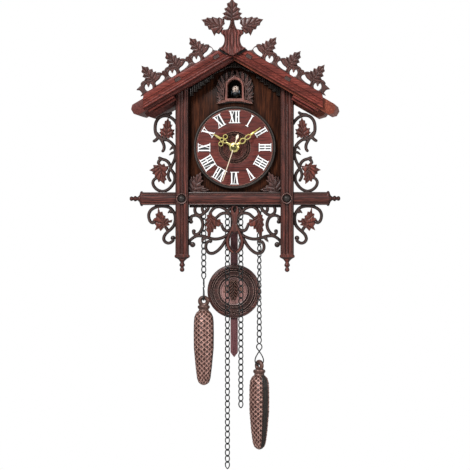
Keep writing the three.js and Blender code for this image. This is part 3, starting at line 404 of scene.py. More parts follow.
# Of each plastic or paint: colour, roughness and, where it isn't the usual, speckle.
PLASTICS = {
    "black_plastic": ((0.02, 0.02, 0.022), 0.45),
    "white_plastic": ((0.8, 0.8, 0.77), 0.4),
    "white_numeral": ((0.92, 0.92, 0.92), 0.35, 0.02),
    "green_board": ((0.03, 0.16, 0.06), 0.35),
    "bird_cream": ((0.93, 0.78, 0.68), 0.5),
    "bird_dark": ((0.03, 0.035, 0.04), 0.45),
    "bird_blue": ((0.2, 0.25, 0.3), 0.45),
    "beak": ((0.5, 0.3, 0.2), 0.4),
    "mouth_red": ((0.16, 0.03, 0.03), 0.5),
}
MATERIALS = {
    **{name: wood_material(name, *values) for name, values in WOODS.items()},
    **{name: metal_material(name, *values) for name, values in METALS.items()},
    **{name: plastic_material(name, *values) for name, values in PLASTICS.items()},
    "painted_shadow": plain_material("painted_shadow", (0.006, 0.004, 0.004), 0.8),
    "scale_bronze": scale_material(
        "scale_bronze", (0.008, 0.005, 0.004), (0.1, 0.038, 0.03), (0.62, 0.37, 0.31),
        (0.022, 0.022, 0.02)),
    "ring_bronze": bronze_material("ring_bronze", (0.04, 0.026, 0.022), (0.2, 0.1, 0.08),
                                   (0.7, 0.45, 0.38)),
}
OTHER_SLOTS = {"copper": "copper_wood", "bronzed_iron": "copper_wood", "bird_paint": "white_plastic"}


def paint_nodes():
    """Every CAD node that stays in sight gets the material of its slot."""
    for row in frame["record"]["subparts"]:
        node = frame["nodes"][row["node"]]
        node.data.materials.clear()
        slot = row["material_slot"]
        node.data.materials.append(MATERIALS[OTHER_SLOTS.get(slot, slot)])


# ---------------------------------------------------------------- shape building
# A shape is (points, faces): points in millimetres, each face a tuple of point numbers.
def outward(points, faces):
    """The same closed shape with its faces turned to look outwards."""
    volume = 0.0
    for face in faces:
        a = points[face[0]]
        for i in range(1, len(face) - 1):
            volume += float(np.dot(a, np.cross(points[face[i]], points[face[i + 1]])))
    if volume < 0:
        faces = [tuple(reversed(face)) for face in faces]
    return points, faces


def merged(shapes):
    """Some shapes as one."""
    points, faces, base = [], [], 0
    for shape_points, shape_faces in shapes:
        points.append(np.asarray(shape_points, float))
        faces += [tuple(base + i for i in face) for face in shape_faces]
        base += len(shape_points)
    return np.concatenate(points), faces


def piece(name, shapes, material, body="case", stands_for=(), sharp=38, marks=None):
    """One finished object made of some closed shapes. `marks` holds a number per point by name."""
    points, faces = merged(shapes)
    mesh = bpy.data.meshes.new(name)
    mesh.from_pydata([tuple(point) for point in points * MM], [], faces)
    for mark, values in (marks or {}).items():
        mesh.attributes.new(mark, "FLOAT", "POINT").data.foreach_set("value", values)
    mesh.materials.append(MATERIALS[material])
    mesh.shade_smooth()
    mesh.set_sharp_from_angle(angle=math.radians(sharp))
    obj = bpy.data.objects.new(name, mesh)
    bpy.context.scene.collection.objects.link(obj)
    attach(obj, body)
    if stands_for:
        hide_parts(*stands_for)


def mirrored(shape, side):
    """The shape, or its mirror image in X for side -1."""
    points, faces = shape
    if side > 0:
        return shape
    return points * (-1, 1, 1), [tuple(reversed(face)) for face in faces]


def on_side(shapes, side):
    """The shapes, or their mirror images for side -1."""
    return [mirrored(shape, side) for shape in shapes]


def flipped(points):
    """The outline points of the left half, going the other way, from those of the right half."""
    return [(-x, z) for x, z in reversed(points)]


def rectangle(left, right, low, high):
    return [(left, low), (right, low), (right, high), (left, high)]


def loop(cx, cz, half_x, half_z, count=16):
    """Points of an oval."""
    turns = np.linspace(0, 2 * math.pi, count, endpoint=False)
    return [(cx + half_x * math.cos(a), cz + half_z * math.sin(a)) for a in turns]


def moved(shape, offset=(0, 0, 0), turn=0.0, axis="y"):
    """The shape turned about an axis through the origin by some degrees, then moved."""
    points, faces = shape
    c, s = math.cos(math.radians(turn)), math.sin(math.radians(turn))
    matrix = {
        "x": ((1, 0, 0), (0, c, -s), (0, s, c)),
        "y": ((c, 0, s), (0, 1, 0), (-s, 0, c)),
        "z": ((c, -s, 0), (s, c, 0), (0, 0, 1)),
    }[axis]
    return points @ np.array(matrix).T + offset, faces


def smooth(points, closed=False, step=0.9):
    """Points about `step` apart on a smooth curve through the given ones."""
    points = np.asarray(points, float)
    count = len(points)
    picks = range(count if closed else count - 1)
    line = []
    for i in picks:
        if closed:
            p0, p1, p2, p3 = (points[(i + k) % count] for k in (-1, 0, 1, 2))
        else:
            p0, p1, p2, p3 = (points[min(max(i + k, 0), count - 1)] for k in (-1, 0, 1, 2))
        steps = max(1, math.ceil(np.linalg.norm(p2 - p1) / step))
        for j in range(steps):
            t = j / steps
            line.append(0.5 * (
                2 * p1 + (p2 - p0) * t + (2 * p0 - 5 * p1 + 4 * p2 - p3) * t**2
                + (3 * p1 - p0 - 3 * p2 + p3) * t**3
            ))
    if not closed:
        line.append(points[-1])
    return np.array(line)


def divided(line, step, closed=True):
    """The line with points added, so that no side is longer than `step`."""
    line = np.asarray(line, float)
    points = []
    for start, end in zip(line, np.roll(line, -1, axis=0) if closed else line[1:]):
        count = max(1, math.ceil(np.linalg.norm(end - start) / step))
        points += [start + (end - start) * i / count for i in range(count)]
    return np.array(points if closed else [*points, line[-1]])


def inside(points, loops):
    """True for each point that lies inside an odd number of the closed loops."""
    x, z = points[:, 0, None], points[:, 1, None]
    odd = np.zeros(len(points), bool)
    for a in loops:
        b = np.roll(a, -1, axis=0)
        crosses = (a[:, 1] > z) != (b[:, 1] > z)
        rise = np.where(b[:, 1] == a[:, 1], 1e-9, b[:, 1] - a[:, 1])
        at = a[:, 0] + (z - a[:, 1]) * (b[:, 0] - a[:, 0]) / rise
        odd ^= (np.sum(crosses & (x < at), axis=1) % 2).astype(bool)
    return odd


def distance(points, starts, ends):
    """Distance from each point to the nearest of some straight segments."""
    run = ends - starts
    length2 = np.maximum((run**2).sum(1), 1e-12)
    nearest = np.empty(len(points))
    for first in range(0, len(points), 2000):
        some = points[first:first + 2000, None]
        along = np.clip(((some - starts) * run).sum(2) / length2, 0, 1)
        gap = some - (starts + along[..., None] * run)
        nearest[first:first + 2000] = np.sqrt((gap**2).sum(2).min(1))
    return nearest


def relief(outline, back, front, depth, holes=(), step=0.9, creases=()):
    """A carved panel. Its back is flat; its front lies depth(x, z, edge) mm behind `front`, where
    edge is the distance to the panel's nearest edge. Creases are lines that the mesh follows."""
    loops = [divided(edge, step) for edge in (outline, *holes)]
    starts = np.concatenate(loops)
    ends = np.concatenate([np.roll(edge, -1, axis=0) for edge in loops])
    low, high = loops[0].min(0), loops[0].max(0)
    rows = np.arange(low[1], high[1], step * 0.87)
    columns = np.arange(low[0], high[0], step)
    grid = np.array([(x + (i % 2) * step / 2, z) for i, z in enumerate(rows) for x in columns])
    grid = grid[inside(grid, loops)]
    if len(grid):
        grid = grid[distance(grid, starts, ends) > 0.5 * step]
    sides, first = [], 0
    for edge in loops:
        sides += [(first + i, first + (i + 1) % len(edge)) for i in range(len(edge))]
        first += len(edge)
    lines = []
    first = len(starts) + len(grid)
    for crease in creases:
        line = divided(crease, step * 1.3, closed=False)
        lines.append(line)
        sides += [(first + i, first + i + 1) for i in range(len(line) - 1)]
        first += len(line)
    flat = np.concatenate([starts, grid, *lines])
    verts, _, triangles, _, _, _ = delaunay_2d_cdt([Vector(point) for point in flat], sides, [], 0, 1e-4)
    flat = np.array([vert[:] for vert in verts])
    triangles = np.array(triangles)
    triangles = triangles[inside(flat[triangles].mean(1), loops)]
    a, b, c = (flat[triangles[:, i]] for i in range(3))
    area = (b[:, 0] - a[:, 0]) * (c[:, 1] - a[:, 1]) - (b[:, 1] - a[:, 1]) * (c[:, 0] - a[:, 0])
    triangles[area < 0] = triangles[area < 0][:, ::-1]
    faces = [tuple(int(i) for i in triangle) for triangle in triangles]
    count = len(flat)
    y = front + depth(flat[:, 0], flat[:, 1], distance(flat, starts, ends))
    near = np.column_stack([flat[:, 0], y, flat[:, 1]])
    far = np.column_stack([flat[:, 0], np.full(count, float(back)), flat[:, 1]])
    directed = {(face[i], face[(i + 1) % 3]) for face in faces for i in range(3)}
    walls = [(q, p, p + count, q + count) for p, q in directed if (q, p) not in directed]
    backs = [tuple(i + count for i in reversed(face)) for face in faces]
    return np.concatenate([near, far]), faces + backs + walls


def eased(edge, radius, drop):
    """How far a rounded edge has fallen away, at a distance from that edge."""
    near = 1 - np.clip(edge / radius, 0, 1)
    return drop * (1 - np.sqrt(1 - near**2))


ROUND_SECTION = [(-1, 0), (-1, 0.45), (-0.8, 0.8), (-0.35, 1), (0.35, 1), (0.8, 0.8), (1, 0.45), (1, 0)]


def stroke(points, widths, back, front, closed=False, section=ROUND_SECTION, step=0.9):
    """A carved strand along a smooth curve, with rounded ends. `widths` are half widths along it."""
    centre = smooth(points, closed, step)
    if closed:
        tangent = np.roll(centre, -1, axis=0) - np.roll(centre, 1, axis=0)
    else:
        tangent = np.gradient(centre, axis=0)
    tangent /= np.linalg.norm(tangent, axis=1)[:, None]
    normal = np.column_stack([-tangent[:, 1], tangent[:, 0]])
    steps = np.linalg.norm(np.diff(centre, axis=0), axis=1)
    run = np.concatenate([[0], np.cumsum(steps)])
    half = np.interp(run / run[-1], np.linspace(0, 1, len(widths)), widths)
    rise = np.ones(len(centre))
    if not closed:
        near = 1 - np.clip(np.minimum(run, run[-1] - run) / half, 0, 0.97)
        round_end = np.sqrt(1 - near**2)
        half = half * np.maximum(round_end, 0.2)
        rise = 0.55 + 0.45 * round_end
    across = np.array([w for w, _ in section])
    up = np.array([d for _, d in section])
    x = centre[:, 0, None] + normal[:, 0, None] * half[:, None] * across
    z = centre[:, 1, None] + normal[:, 1, None] * half[:, None] * across
    y = back + (front - back) * rise[:, None] * up
    return tube_of(np.stack([x, np.broadcast_to(y, x.shape), z], axis=2), closed)


def tube_of(rings, closed):
    """A closed shape through rings of points, each ring with as many points as the others."""
    count, width, _ = rings.shape
    faces = []
    for i in range(count if closed else count - 1):
        for k in range(width):
            a, b = i * width, ((i + 1) % count) * width
            faces.append((a + k, b + k, b + (k + 1) % width, a + (k + 1) % width))
    if not closed:
        faces.append(tuple(reversed(range(width))))
        faces.append(tuple(range((count - 1) * width, count * width)))
    return outward(rings.reshape(-1, 3), faces)


def wire(points, radius, closed=False, sides=8):
    """A round wire through points in space, close enough together to be its bends."""
    points = np.asarray(points, float)
    if closed:
        tangent = np.roll(points, -1, axis=0) - np.roll(points, 1, axis=0)
    else:
        tangent = np.gradient(points, axis=0)
    tangent /= np.linalg.norm(tangent, axis=1)[:, None]
    around = []
    normal = np.cross(tangent[0], (0.31, 0.87, 0.38))
    for along in tangent:
        normal = normal - along * np.dot(normal, along)
        normal /= np.linalg.norm(normal)
        around.append((normal, np.cross(along, normal)))
    turns = np.linspace(0, 2 * math.pi, sides, endpoint=False)
    rings = np.array([
        [point + radius * (math.cos(t) * n + math.sin(t) * m) for t in turns]
        for point, (n, m) in zip(points, around)
    ])
    return tube_of(rings, closed)


def lathe(profile, centre=(0, 0, 0), axis="y", sides=64):
    """A turned shape from (radius, height) points about a line along `axis` through `centre`."""
    angles = np.linspace(0, 2 * math.pi, sides, endpoint=False)
    open_ends = profile[0][0] == 0 and profile[-1][0] == 0
    points, rings = [], []
    for radius, height in profile:
        if radius == 0:
            rings.append([len(points)])
            points.append((0, 0, height))
            continue
        rings.append(range(len(points), len(points) + sides))
        points += [(radius * math.cos(t), radius * math.sin(t), height) for t in angles]
    faces = []
    pairs = zip(rings, rings[1:]) if open_ends else zip(rings, rings[1:] + rings[:1])
    for lower, upper in pairs:
        for k in range(sides):
            n = (k + 1) % sides
            if len(lower) == 1:
                faces.append((lower[0], upper[n], upper[k]))
            elif len(upper) == 1:
                faces.append((lower[k], lower[n], upper[0]))
            else:
                faces.append((lower[k], lower[n], upper[n], upper[k]))
    order = {"x": [2, 0, 1], "y": [0, 2, 1], "z": [0, 1, 2]}[axis]
    return outward(np.array(points, float)[:, order] + np.asarray(centre, float), faces)


def block(x, y, z, ease=0.4):
    """A box from its (start, end) along each axis, with all its edges eased."""
    bm = bmesh.new()
    bmesh.ops.create_cube(bm, size=1)
    size = np.array([abs(end - start) for start, end in (x, y, z)])
    centre = np.array([(start + end) / 2 for start, end in (x, y, z)])
    for vert in bm.verts:
        vert.co = Vector(np.array(vert.co) * size)
    bmesh.ops.bevel(bm, geom=bm.edges, offset=min(ease, size.min() * 0.3), segments=2, profile=0.5,
                    affect="EDGES")
    points, faces = shape_of(bm)
    return points + centre, faces


def shape_of(bm):
    """The points and faces of a bmesh, which is freed."""
    bm.verts.index_update()
    points = np.array([vert.co[:] for vert in bm.verts], float)
    faces = [tuple(vert.index for vert in face.verts) for face in bm.faces]
    bm.free()
    return points, faces


def prism(outline, back, front, ease=0.35):
    """A flat board from its outline, with eased edges in front and behind."""
    count = len(outline)
    line = np.asarray(outline, float)
    before = np.roll(line, 1, axis=0) - line
    after = np.roll(line, -1, axis=0) - line
    before /= np.linalg.norm(before, axis=1)[:, None]
    after /= np.linalg.norm(after, axis=1)[:, None]
    area = np.sum(line[:, 0] * np.roll(line[:, 1], -1) - np.roll(line[:, 0], -1) * line[:, 1])
    next_in = np.column_stack([-after[:, 1], after[:, 0]]) * np.sign(area)
    last_in = np.column_stack([before[:, 1], -before[:, 0]]) * np.sign(area)
    inward = next_in + last_in
    inward /= np.maximum(np.linalg.norm(inward, axis=1), 0.2)[:, None]
    slack = np.maximum((inward * next_in).sum(1), 0.4)[:, None]
    small = line + inward * ease / slack
    rings = []
    for flat, y in ((small, back), (line, back - ease), (line, front + ease), (small, front)):
        rings.append(np.column_stack([flat[:, 0], np.full(count, float(y)), flat[:, 1]]))
    return tube_of(np.array(rings), False)


def bevelled(node, width, material, body="case"):
    """A CAD node with its flat faces whole again and its sharp edges eased, standing for it."""
    bm = bmesh.new()
    bm.from_mesh(frame["nodes"][node].data)
    bmesh.ops.remove_doubles(bm, verts=bm.verts, dist=1e-6)
    bmesh.ops.dissolve_limit(bm, angle_limit=math.radians(1), verts=bm.verts, edges=bm.edges)
    edges = [e for e in bm.edges if e.is_manifold and e.calc_face_angle() > math.radians(25)]
    bmesh.ops.bevel(
        bm, geom=edges, offset=width * MM, segments=2, profile=0.5, affect="EDGES", clamp_overlap=True,
    )
    points, faces = shape_of(bm)
    piece(f"{node}_eased", [(points / MM, faces)], material, body, [node])


# ---------------------------------------------------------------- leaves
# Half a leaf's outline: across in half widths, along in lengths, with teeth and notches in turn.
SERRATED = [
    (0.05, 0), (0.5, 0.0), (1.0, 0.1), (0.70, 0.2), (0.95, 0.32), (0.60, 0.38), (0.78, 0.53), (0.43, 0.6),
    (0.52, 0.76), (0.22, 0.83), (0, 1),
]
SMOOTH_LEAF = [
    (0.05, 0), (0.62, 0.06), (0.92, 0.2), (0.96, 0.36), (1.0, 0.5), (0.98, 0.64), (0.8, 0.78), (0.42, 0.92),
    (0, 1),
]
MAPLE = [
    (0.06, 0), (0.3, -0.07), (0.42, 0.03), (0.82, -0.04), (0.74, 0.11), (1.0, 0.2), (0.8, 0.27),
    (0.94, 0.42), (0.6, 0.42), (0.46, 0.5), (0.62, 0.66), (0.4, 0.66), (0.36, 0.82), (0.16, 0.84), (0, 1),
]


def leaf_frame(base, tip):
    """The leaf's length, its direction and the direction to its right."""
    base, tip = np.asarray(base, float), np.asarray(tip, float)
    along = tip - base
    length = np.linalg.norm(along)
    along /= length
    return base, length, along, np.array([along[1], -along[0]])


def leaf_outline(base, tip, half, pattern):
    start, length, along, right = leaf_frame(base, tip)
    both = pattern + flipped(pattern[:-1])
    return [start + right * x * half + along * y * length for x, y in both]


def leaf_veins(base, tip, half, pattern):
    """The midrib, and a side vein from it towards each tooth, or evenly spaced ones in a smooth leaf."""
    start, length, along, right = leaf_frame(base, tip)
    place = lambda x, y: start + right * x * half + along * y * length
    veins = [(place(0, 0), place(0, 0.97))]
    if pattern is SMOOTH_LEAF:
        for root in (0.04, 0.2, 0.36, 0.52, 0.68):
            veins += [(place(0, root), place(side * 0.8, root + 0.16)) for side, _ in SIDES]
        return veins
    for before, tooth, after in zip(pattern, pattern[1:], pattern[2:]):
        stands_out = math.hypot(*tooth) > max(math.hypot(*before), math.hypot(*after)) * 0.98
        if stands_out and tooth[0] > max(0.25, before[0]):
            root = max(0.02, tooth[1] * 0.8 - 0.14)
            for side, _ in SIDES:
                veins.append((place(0, root), place(side * tooth[0] * 0.86, tooth[1] - 0.01)))
    return veins


def veined(outline, veins, back, front, curl=0.0, middle=None, reach=10.0, groove=0.75, ease=1.0,
           step=0.75):
    """A leaf carved from its outline, with grooves along its veins, that curls back away from `middle`."""
    starts = np.array([vein[0] for vein in veins])
    ends = np.array([vein[1] for vein in veins])

    def depth(x, z, edge):
        flat = np.column_stack([x, z])
        vein = distance(flat, starts, ends)
        fall = eased(edge, ease, 0.9)
        fall += groove * np.exp(-((vein / 0.5) ** 2)) * np.clip(edge / 0.6, 0, 1)
        fall += 0.35 * np.exp(-vein / 1.4)
        if middle is not None:
            away = distance(flat, np.array([middle[0]]), np.array([middle[1]]))
            fall += curl * np.clip(away / reach, 0, 1.2) ** 1.5
        return fall

    return relief(outline, back, front, depth, step=step, creases=veins)


def leaf(base, tip, half, back, front, pattern=MAPLE, curl=1.2, groove=0.75):
    outline = leaf_outline(base, tip, half, pattern)
    veins = leaf_veins(base, tip, half, pattern)
    return veined(outline, veins, back, front, curl, veins[0], half, groove)


# ---------------------------------------------------------------- roof
RIDGE = 104.2
SLOPE_COS, SLOPE_SIN = math.cos(PITCH), math.sin(PITCH)
BARGE_BACK, BARGE_FRONT = depths("bargeboard_right")
PEG_HALF = (3.9, 2.3)  # along and across the slope
CREST_FRONT = BARGE_FRONT + 2
FINIAL_BACK, FINIAL_FRONT = depths("ridge_finial")


def on_slope(s, t):
    """The point s down the roof's slope from the ridge and t above its underside."""
    return s * SLOPE_COS + t * SLOPE_SIN, RIDGE - s * SLOPE_SIN + t * SLOPE_COS


def slope_rise(x, z):
    return x * SLOPE_SIN + (z - RIDGE) * SLOPE_COS


def slope_run(x, z):
    return x * SLOPE_COS - (z - RIDGE) * SLOPE_SIN


def make_bargeboard(side, name):
    """The sloping front board, with long mouldings, a peg in two places and a scrolled end."""
    end = smooth([(107.5, 58), (107.1, 61), (105.8, 63.8), (103.8, 66)], step=0.8)
    outline = [(0.2, 107.4), (107.5, 45.5), *end, (101, 67.1), (0.2, 125.3)]
    steps = [
        (2.8, 0.9), (3.5, 0.4), (4.3, 0.2), (5.0, 0.4), (5.5, 1.1), (5.9, 1.1), (6.5, 0.5), (7.2, 0.35),
        (7.9, 0.6), (8.5, 1.3), (8.9, 1.3), (9.7, 0.9), (10.4, 0.7), (10.9, 1.2), (11.2, 1.2), (11.8, 0.4),
        (14.5, 0.1), (17.4, 0.4), (18.6, 1.1), (30, 1.1),
    ]
    rises = [t for t, _ in steps]
    falls = [d for _, d in steps]
    pegs = [(15.2, 12.6), (68.6, 12.6)]

    def depth(x, z, edge):
        fall = np.interp(slope_rise(x, z), rises, falls)
        for s, t in pegs:
            run = np.abs(slope_run(x, z) - s)
            rise = np.abs(slope_rise(x, z) - t)
            fall = np.where((run < PEG_HALF[0]) & (rise < PEG_HALF[1]), 2.0, fall)
        return fall + eased(edge, 0.6, 0.4)

    creases = [(on_slope(-12, t), on_slope(126, t)) for t in rises[1:-1]]
    for s, t in pegs:
        for grow in (0, 0.25):
            w, h = PEG_HALF[0] + grow, PEG_HALF[1] + grow
            corners = [on_slope(*corner) for corner in rectangle(s - w, s + w, t - h, t + h)]
            creases.append([*corners, corners[0]])
    board = relief(outline, BARGE_BACK, BARGE_FRONT, depth, step=1.6, creases=creases)
    piece(f"fascia_{name}", [mirrored(board, side)], "mahogany")
    plugs = []
    for s, t in pegs:
        corners = [on_slope(*corner) for corner in rectangle(s - 3.6, s + 3.6, t - 2, t + 2)]
        plugs.append(mirrored(prism(corners, BARGE_FRONT + 2.6, BARGE_FRONT + 1.0, 0.3), side))
    piece(f"fascia_pegs_{name}", plugs, "carved_wood")


CREST_UNITS = (30.3, 63.6, 96.6)
CREST_EDGE = [
    (118, 27), (115.2, 24.3), (114.2, 20), (113.8, 17), (60, 17), (14, 17), (14.2, 22), (14.7, 26),
    (17, 29), (20, 30.2), (25, 31), (36, 31), (40, 29.8), (43, 29.2), (45.4, 30.8), (47.6, 30.6),
    (49.6, 28.9), (53, 30), (58, 31), (69, 31), (73, 29.8), (76, 29.2), (78.4, 30.8), (80.6, 30.6),
    (82.6, 28.9), (86, 30), (91, 31), (102, 31), (107, 30), (112, 28.6),
]
BEAN_SLOT = [
    (-14.1, 4.4), (-15.3, 7.2), (-13.4, 9.8), (-11, 8.6), (-8.2, 7.2), (-3.6, 6.4), (-1.6, 4.5), (-2.4, 3),
    (-7.3, 2.7),
]


def make_crest(side, name):
    """The pierced strip along the top of the bargeboard, with its three leaves."""
    outline = [on_slope(s, t) for s, t in smooth(CREST_EDGE, closed=True, step=0.9)]
    holes = []
    for unit in CREST_UNITS:
        holes.append([on_slope(unit + u, 17 + v) for u, v in smooth(BEAN_SLOT, closed=True, step=0.8)])
        holes.append([on_slope(s, t) for s, t in loop(unit + 7.2, 22.4, 4.7, 4.7, 28)])
    rays = []
    for s in (45.2, 47.4, 78.2, 80.4):
        rays += [(on_slope(s + lean, 22), on_slope(s + lean * 1.6, 30)) for lean in (-1.2, 0.6)]
    rays += [(on_slope(unit - 0.4, 17.5), on_slope(unit - 1.2, 25)) for unit in CREST_UNITS]
    strip_front = CREST_FRONT + 0.9
    starts, ends = np.array([ray[0] for ray in rays]), np.array([ray[1] for ray in rays])

    def depth(x, z, edge):
        ray = distance(np.column_stack([x, z]), starts, ends)
        return eased(edge, 1.4, 1.3) + 0.8 * np.exp(-((ray / 0.45) ** 2)) * np.clip(edge, 0, 1)

    shapes = [relief(outline, BARGE_BACK, strip_front, depth, holes, 0.8, rays)]
    for unit in CREST_UNITS:
        base, tip = on_slope(unit - 2.0, 25.5), on_slope(unit + 1.6, 48.9)
        blade = leaf(base, tip, 9.8, BARGE_BACK, CREST_FRONT - 0.4, SERRATED, 1.6)
        stem = stroke([on_slope(unit - 0.6, 18.5), on_slope(unit - 1.2, 22), on_slope(unit - 1.9, 27)],
                      [1.5, 1.0, 0.8], BARGE_BACK - 1.5, CREST_FRONT - 0.6)
        tooth_root, tooth_tip = on_slope(unit + 4.2, 28.6), on_slope(unit + 7.4, 22.0)
        tooth = leaf(tooth_root, tooth_tip, 2.6, BARGE_BACK - 1, CREST_FRONT + 0.4, SERRATED, 0.3, 0.3)
        shapes.append(tooth)
        lobes = [
            stroke([on_slope(unit + u, t) for u, t in path], [1.7, 1.2], BARGE_BACK - 1, CREST_FRONT + 0.1)
            for path in (
                [(-14.2, 28.2), (-10, 31), (-5, 29.6), (-2.4, 26.6)],
                [(13.8, 28.4), (10, 30.6), (5, 29.4), (-0.6, 26.6)],
            )
        ]
        shapes += [blade, stem, *lobes]
    piece(f"crest_{name}", on_side(shapes, side), "crest_wood",
          stands_for=[f"bargeboard_{name}"])


def make_finial():
    """The trunk at the ridge with three leaves."""
    half = [
        (5, 110.4), (10, 113.8), (16, 117.2), (12.8, 119), (10.4, 122), (9.2, 127), (10.2, 131.6),
        (13.4, 134.8), (12.6, 138.6), (9, 139.6), (5.6, 140.2), (3.9, 143), (2.6, 147), (2.2, 152.5),
    ]
    right = smooth(half, step=0.8)
    outline = [(0, 108.3), *right, *flipped(right)]
    heights = [z for _, z in half[2:]]
    widths = [x for x, _ in half[2:]]

    def depth(x, z, edge):
        q = np.abs(x) / np.interp(z, heights, widths)
        wave = 0.5 - 0.5 * np.cos((q * 3.0 + 0.25 * np.sin((z - 108) / 4)) * 2 * math.pi)
        return eased(edge, 1.2, 1.5) + 2.2 * np.clip(q, 0, 1.2) ** 2 + 1.5 * wave ** 2 * np.clip(edge, 0, 1)

    trunk = relief(outline, FINIAL_BACK, FINIAL_FRONT, depth, step=0.6)
    piece("finial_trunk", [trunk], "finial_wood", stands_for=["ridge_finial"])
    shapes = []
    side_leaf = [
        (9.5, 152.5), (11.5, 152), (15.8, 154.4), (17.5, 152.8), (23.8, 154.8), (25, 153), (30, 154),
        (31, 152.4), (36.8, 151.2), (33.4, 147.4), (32.8, 144.3), (29.5, 143.6), (28.2, 139.6), (25, 139.4),
        (21.6, 132), (19.4, 135.6), (16, 134), (13.4, 137.2), (10.4, 141.6), (12.4, 143), (9, 146.4),
        (9.6, 149),
    ]
    veins = [
        ((11, 141.5), (35, 150.4)), ((13, 142.3), (21.4, 134.2)), ((16, 143.4), (27.2, 141)),
        ((20, 145), (31, 145.6)), ((15, 143), (16, 152.8)), ((19, 144.6), (23.6, 153.2)),
        ((25, 146.8), (29.6, 152.8)), ((12, 141.8), (10.6, 150)),
    ]
    for side, _ in SIDES:
        blade = veined(side_leaf, veins, FINIAL_BACK, FINIAL_FRONT + 1.2, 1.8, veins[0], 9)
        shapes.append(mirrored(blade, side))
    shapes.append(leaf((0, 150.5), (0, 176.4), 12.4, FINIAL_BACK, FINIAL_FRONT + 0.6, SERRATED, 1.8))
    piece("finial_leaves", shapes, "crest_wood")
    # Near-black lens shapes beside the trunk's foot: painted shadow in the hollows there.
    eye = smooth([(6, 109.6), (11, 111.4), (17.4, 115.8), (13, 116.6), (8, 113.4)], closed=True)
    painted_shadow = relief(eye, FINIAL_BACK + 0.25, FINIAL_BACK - 0.2, lambda x, z, edge: eased(edge, 0.3, 0.15))
    piece("finial_painted_shadows", [mirrored(painted_shadow, side) for side, _ in SIDES], "painted_shadow")


def make_eaves(side, name):
    """Two stepped strips under the roof, from the post to the roof's end."""
    shapes = []
    for high, low, back, front, end in ((0.0, -3.4, -74, -86.5, 119), (-3.4, -6.4, -74, -82, 114)):
        corners = [on_slope(*corner) for corner in rectangle(83.4, end, low, high)]
        shapes.append(mirrored(prism(corners, back, front, 0.7), side))
    piece(f"eaves_moulding_{name}", shapes, "mahogany")


def make_roof_boards():
    # The left board takes a darker copy of the roof wood: painted shade.
    for (_, name), wood in zip(SIDES, ("roof_wood_shaded", "roof_wood")):
        bevelled(f"roof_board_{name}", 0.5, wood)


# ---------------------------------------------------------------- posts, crossbar and fringe
POST_INNER, POST_OUTER = 55.5, 71.0
POST_BACK, POST_FRONT = depths("post_right")
BAR_BACK, BAR_FRONT = depths("crossbar")
BAR_LOW, BAR_HIGH = -69.0, -53.5
BAR_MIDDLE = (BAR_LOW + BAR_HIGH) / 2
BAR_END = 111.6
TIP_RADIUS = 3.6


def turned_tip(length):
    """A turned end with a neck, a bead and a ball, pointing down from z = 0."""
    profile = [
        (0, 1.5), (1, 1.5), (1, 0), (0.95, -0.04), (0.72, -0.1), (0.62, -0.18), (0.66, -0.24),
        (0.86, -0.31), (0.93, -0.38), (0.93, -0.43), (0.84, -0.5), (0.6, -0.55), (0.52, -0.6),
        (0.62, -0.66), (0.76, -0.73), (0.8, -0.8), (0.74, -0.88), (0.55, -0.95), (0.3, -0.99), (0, -1),
    ]
    return lathe([(r * TIP_RADIUS, z if z > 0 else z * length) for r, z in profile], axis="z", sides=28)


def make_post(side, name):
    """A reeded post with a turned foot."""
    centre = (POST_INNER + POST_OUTER) / 2
    neck = -135.5
    foot = smooth([(54.4, -131), (55.2, -132.2), (57.4, -133.4), (59, -134.6), (centre - TIP_RADIUS, neck)],
                  step=0.7)
    mirrored_foot = [(2 * centre - x, z) for x, z in foot[::-1]]
    outline = [
        (POST_INNER, 71.4), (POST_INNER, -128.6), (54.5, -129.6), *foot, *mirrored_foot, (72, -129.6),
        (POST_OUTER, -128.6), (POST_OUTER, 62.6),
    ]
    across = [
        (0, 1.8), (0.5, 0.7), (1.2, 0.3), (1.6, 1.1), (2.1, 1.1), (2.5, 0.4), (3.9, 0.0), (5.2, 0.4),
        (5.8, 1.7), (6.4, 2.2), (7.75, 1.5), (9.1, 2.2), (9.7, 1.7), (10.3, 0.4), (11.6, 0.0), (13.0, 0.4),
        (13.4, 1.1), (13.9, 1.1), (14.3, 0.3), (15.0, 0.7), (15.5, 1.8),
    ]
    places = [POST_INNER + x for x, _ in across]
    falls = [fall for _, fall in across]

    def depth(x, z, edge):
        reeds = np.interp(x, places, falls)
        foot_fall = 0.8 + 0.9 * np.clip(-131.5 - z, 0, 5) + eased(edge, 1.5, 1.2)
        groove = 0.8 * np.exp(-(((z + 129.4) / 0.7) ** 2))
        return np.where(z < -128.6, foot_fall, reeds + groove)

    creases = [((x, 80), (x, -128.6)) for x in places[1:-1]] + [((50, -128.6), (80, -128.6))]
    creases.append(((50, -130.2), (80, -130.2)))
    post = relief(outline, POST_BACK, POST_FRONT, depth, step=1.6, creases=creases)
    tip = moved(turned_tip(13.9), (centre, (POST_BACK + POST_FRONT) / 2, neck))
    piece(f"post_carving_{name}", on_side((post, tip), side), "dark_wood",
          stands_for=[f"post_{name}"])


def make_boss(name):
    """A domed boss in a ring, on the crossing of post and bar."""
    x, _, z = middle(f"boss_{name}")
    centre = (x, 0, z)
    back, front = depths(f"boss_{name}")
    left, right = span(f"boss_{name}", 0)
    radius = (right - left) / 2
    ring = [(radius - 1.7, back), (radius, back), (radius + 0.2, back - 0.7), (radius - 0.4, back - 1.4),
            (radius - 1.1, back - 1.2), (radius - 1.7, back - 0.4)]
    height = back - 0.3 - front
    quarter = np.linspace(0, math.pi / 2, 9)[:-1]
    dome = [(0, back), *((4.6 * math.cos(a), back - 0.3 - height * math.sin(a)) for a in quarter),
            (0, front)]
    piece(f"boss_ring_{name}", [lathe(ring, centre, sides=40)], "copper_wood",
          stands_for=[f"boss_{name}"])
    piece(f"boss_dome_{name}", [lathe(dome, centre, sides=40)], "black_wood")


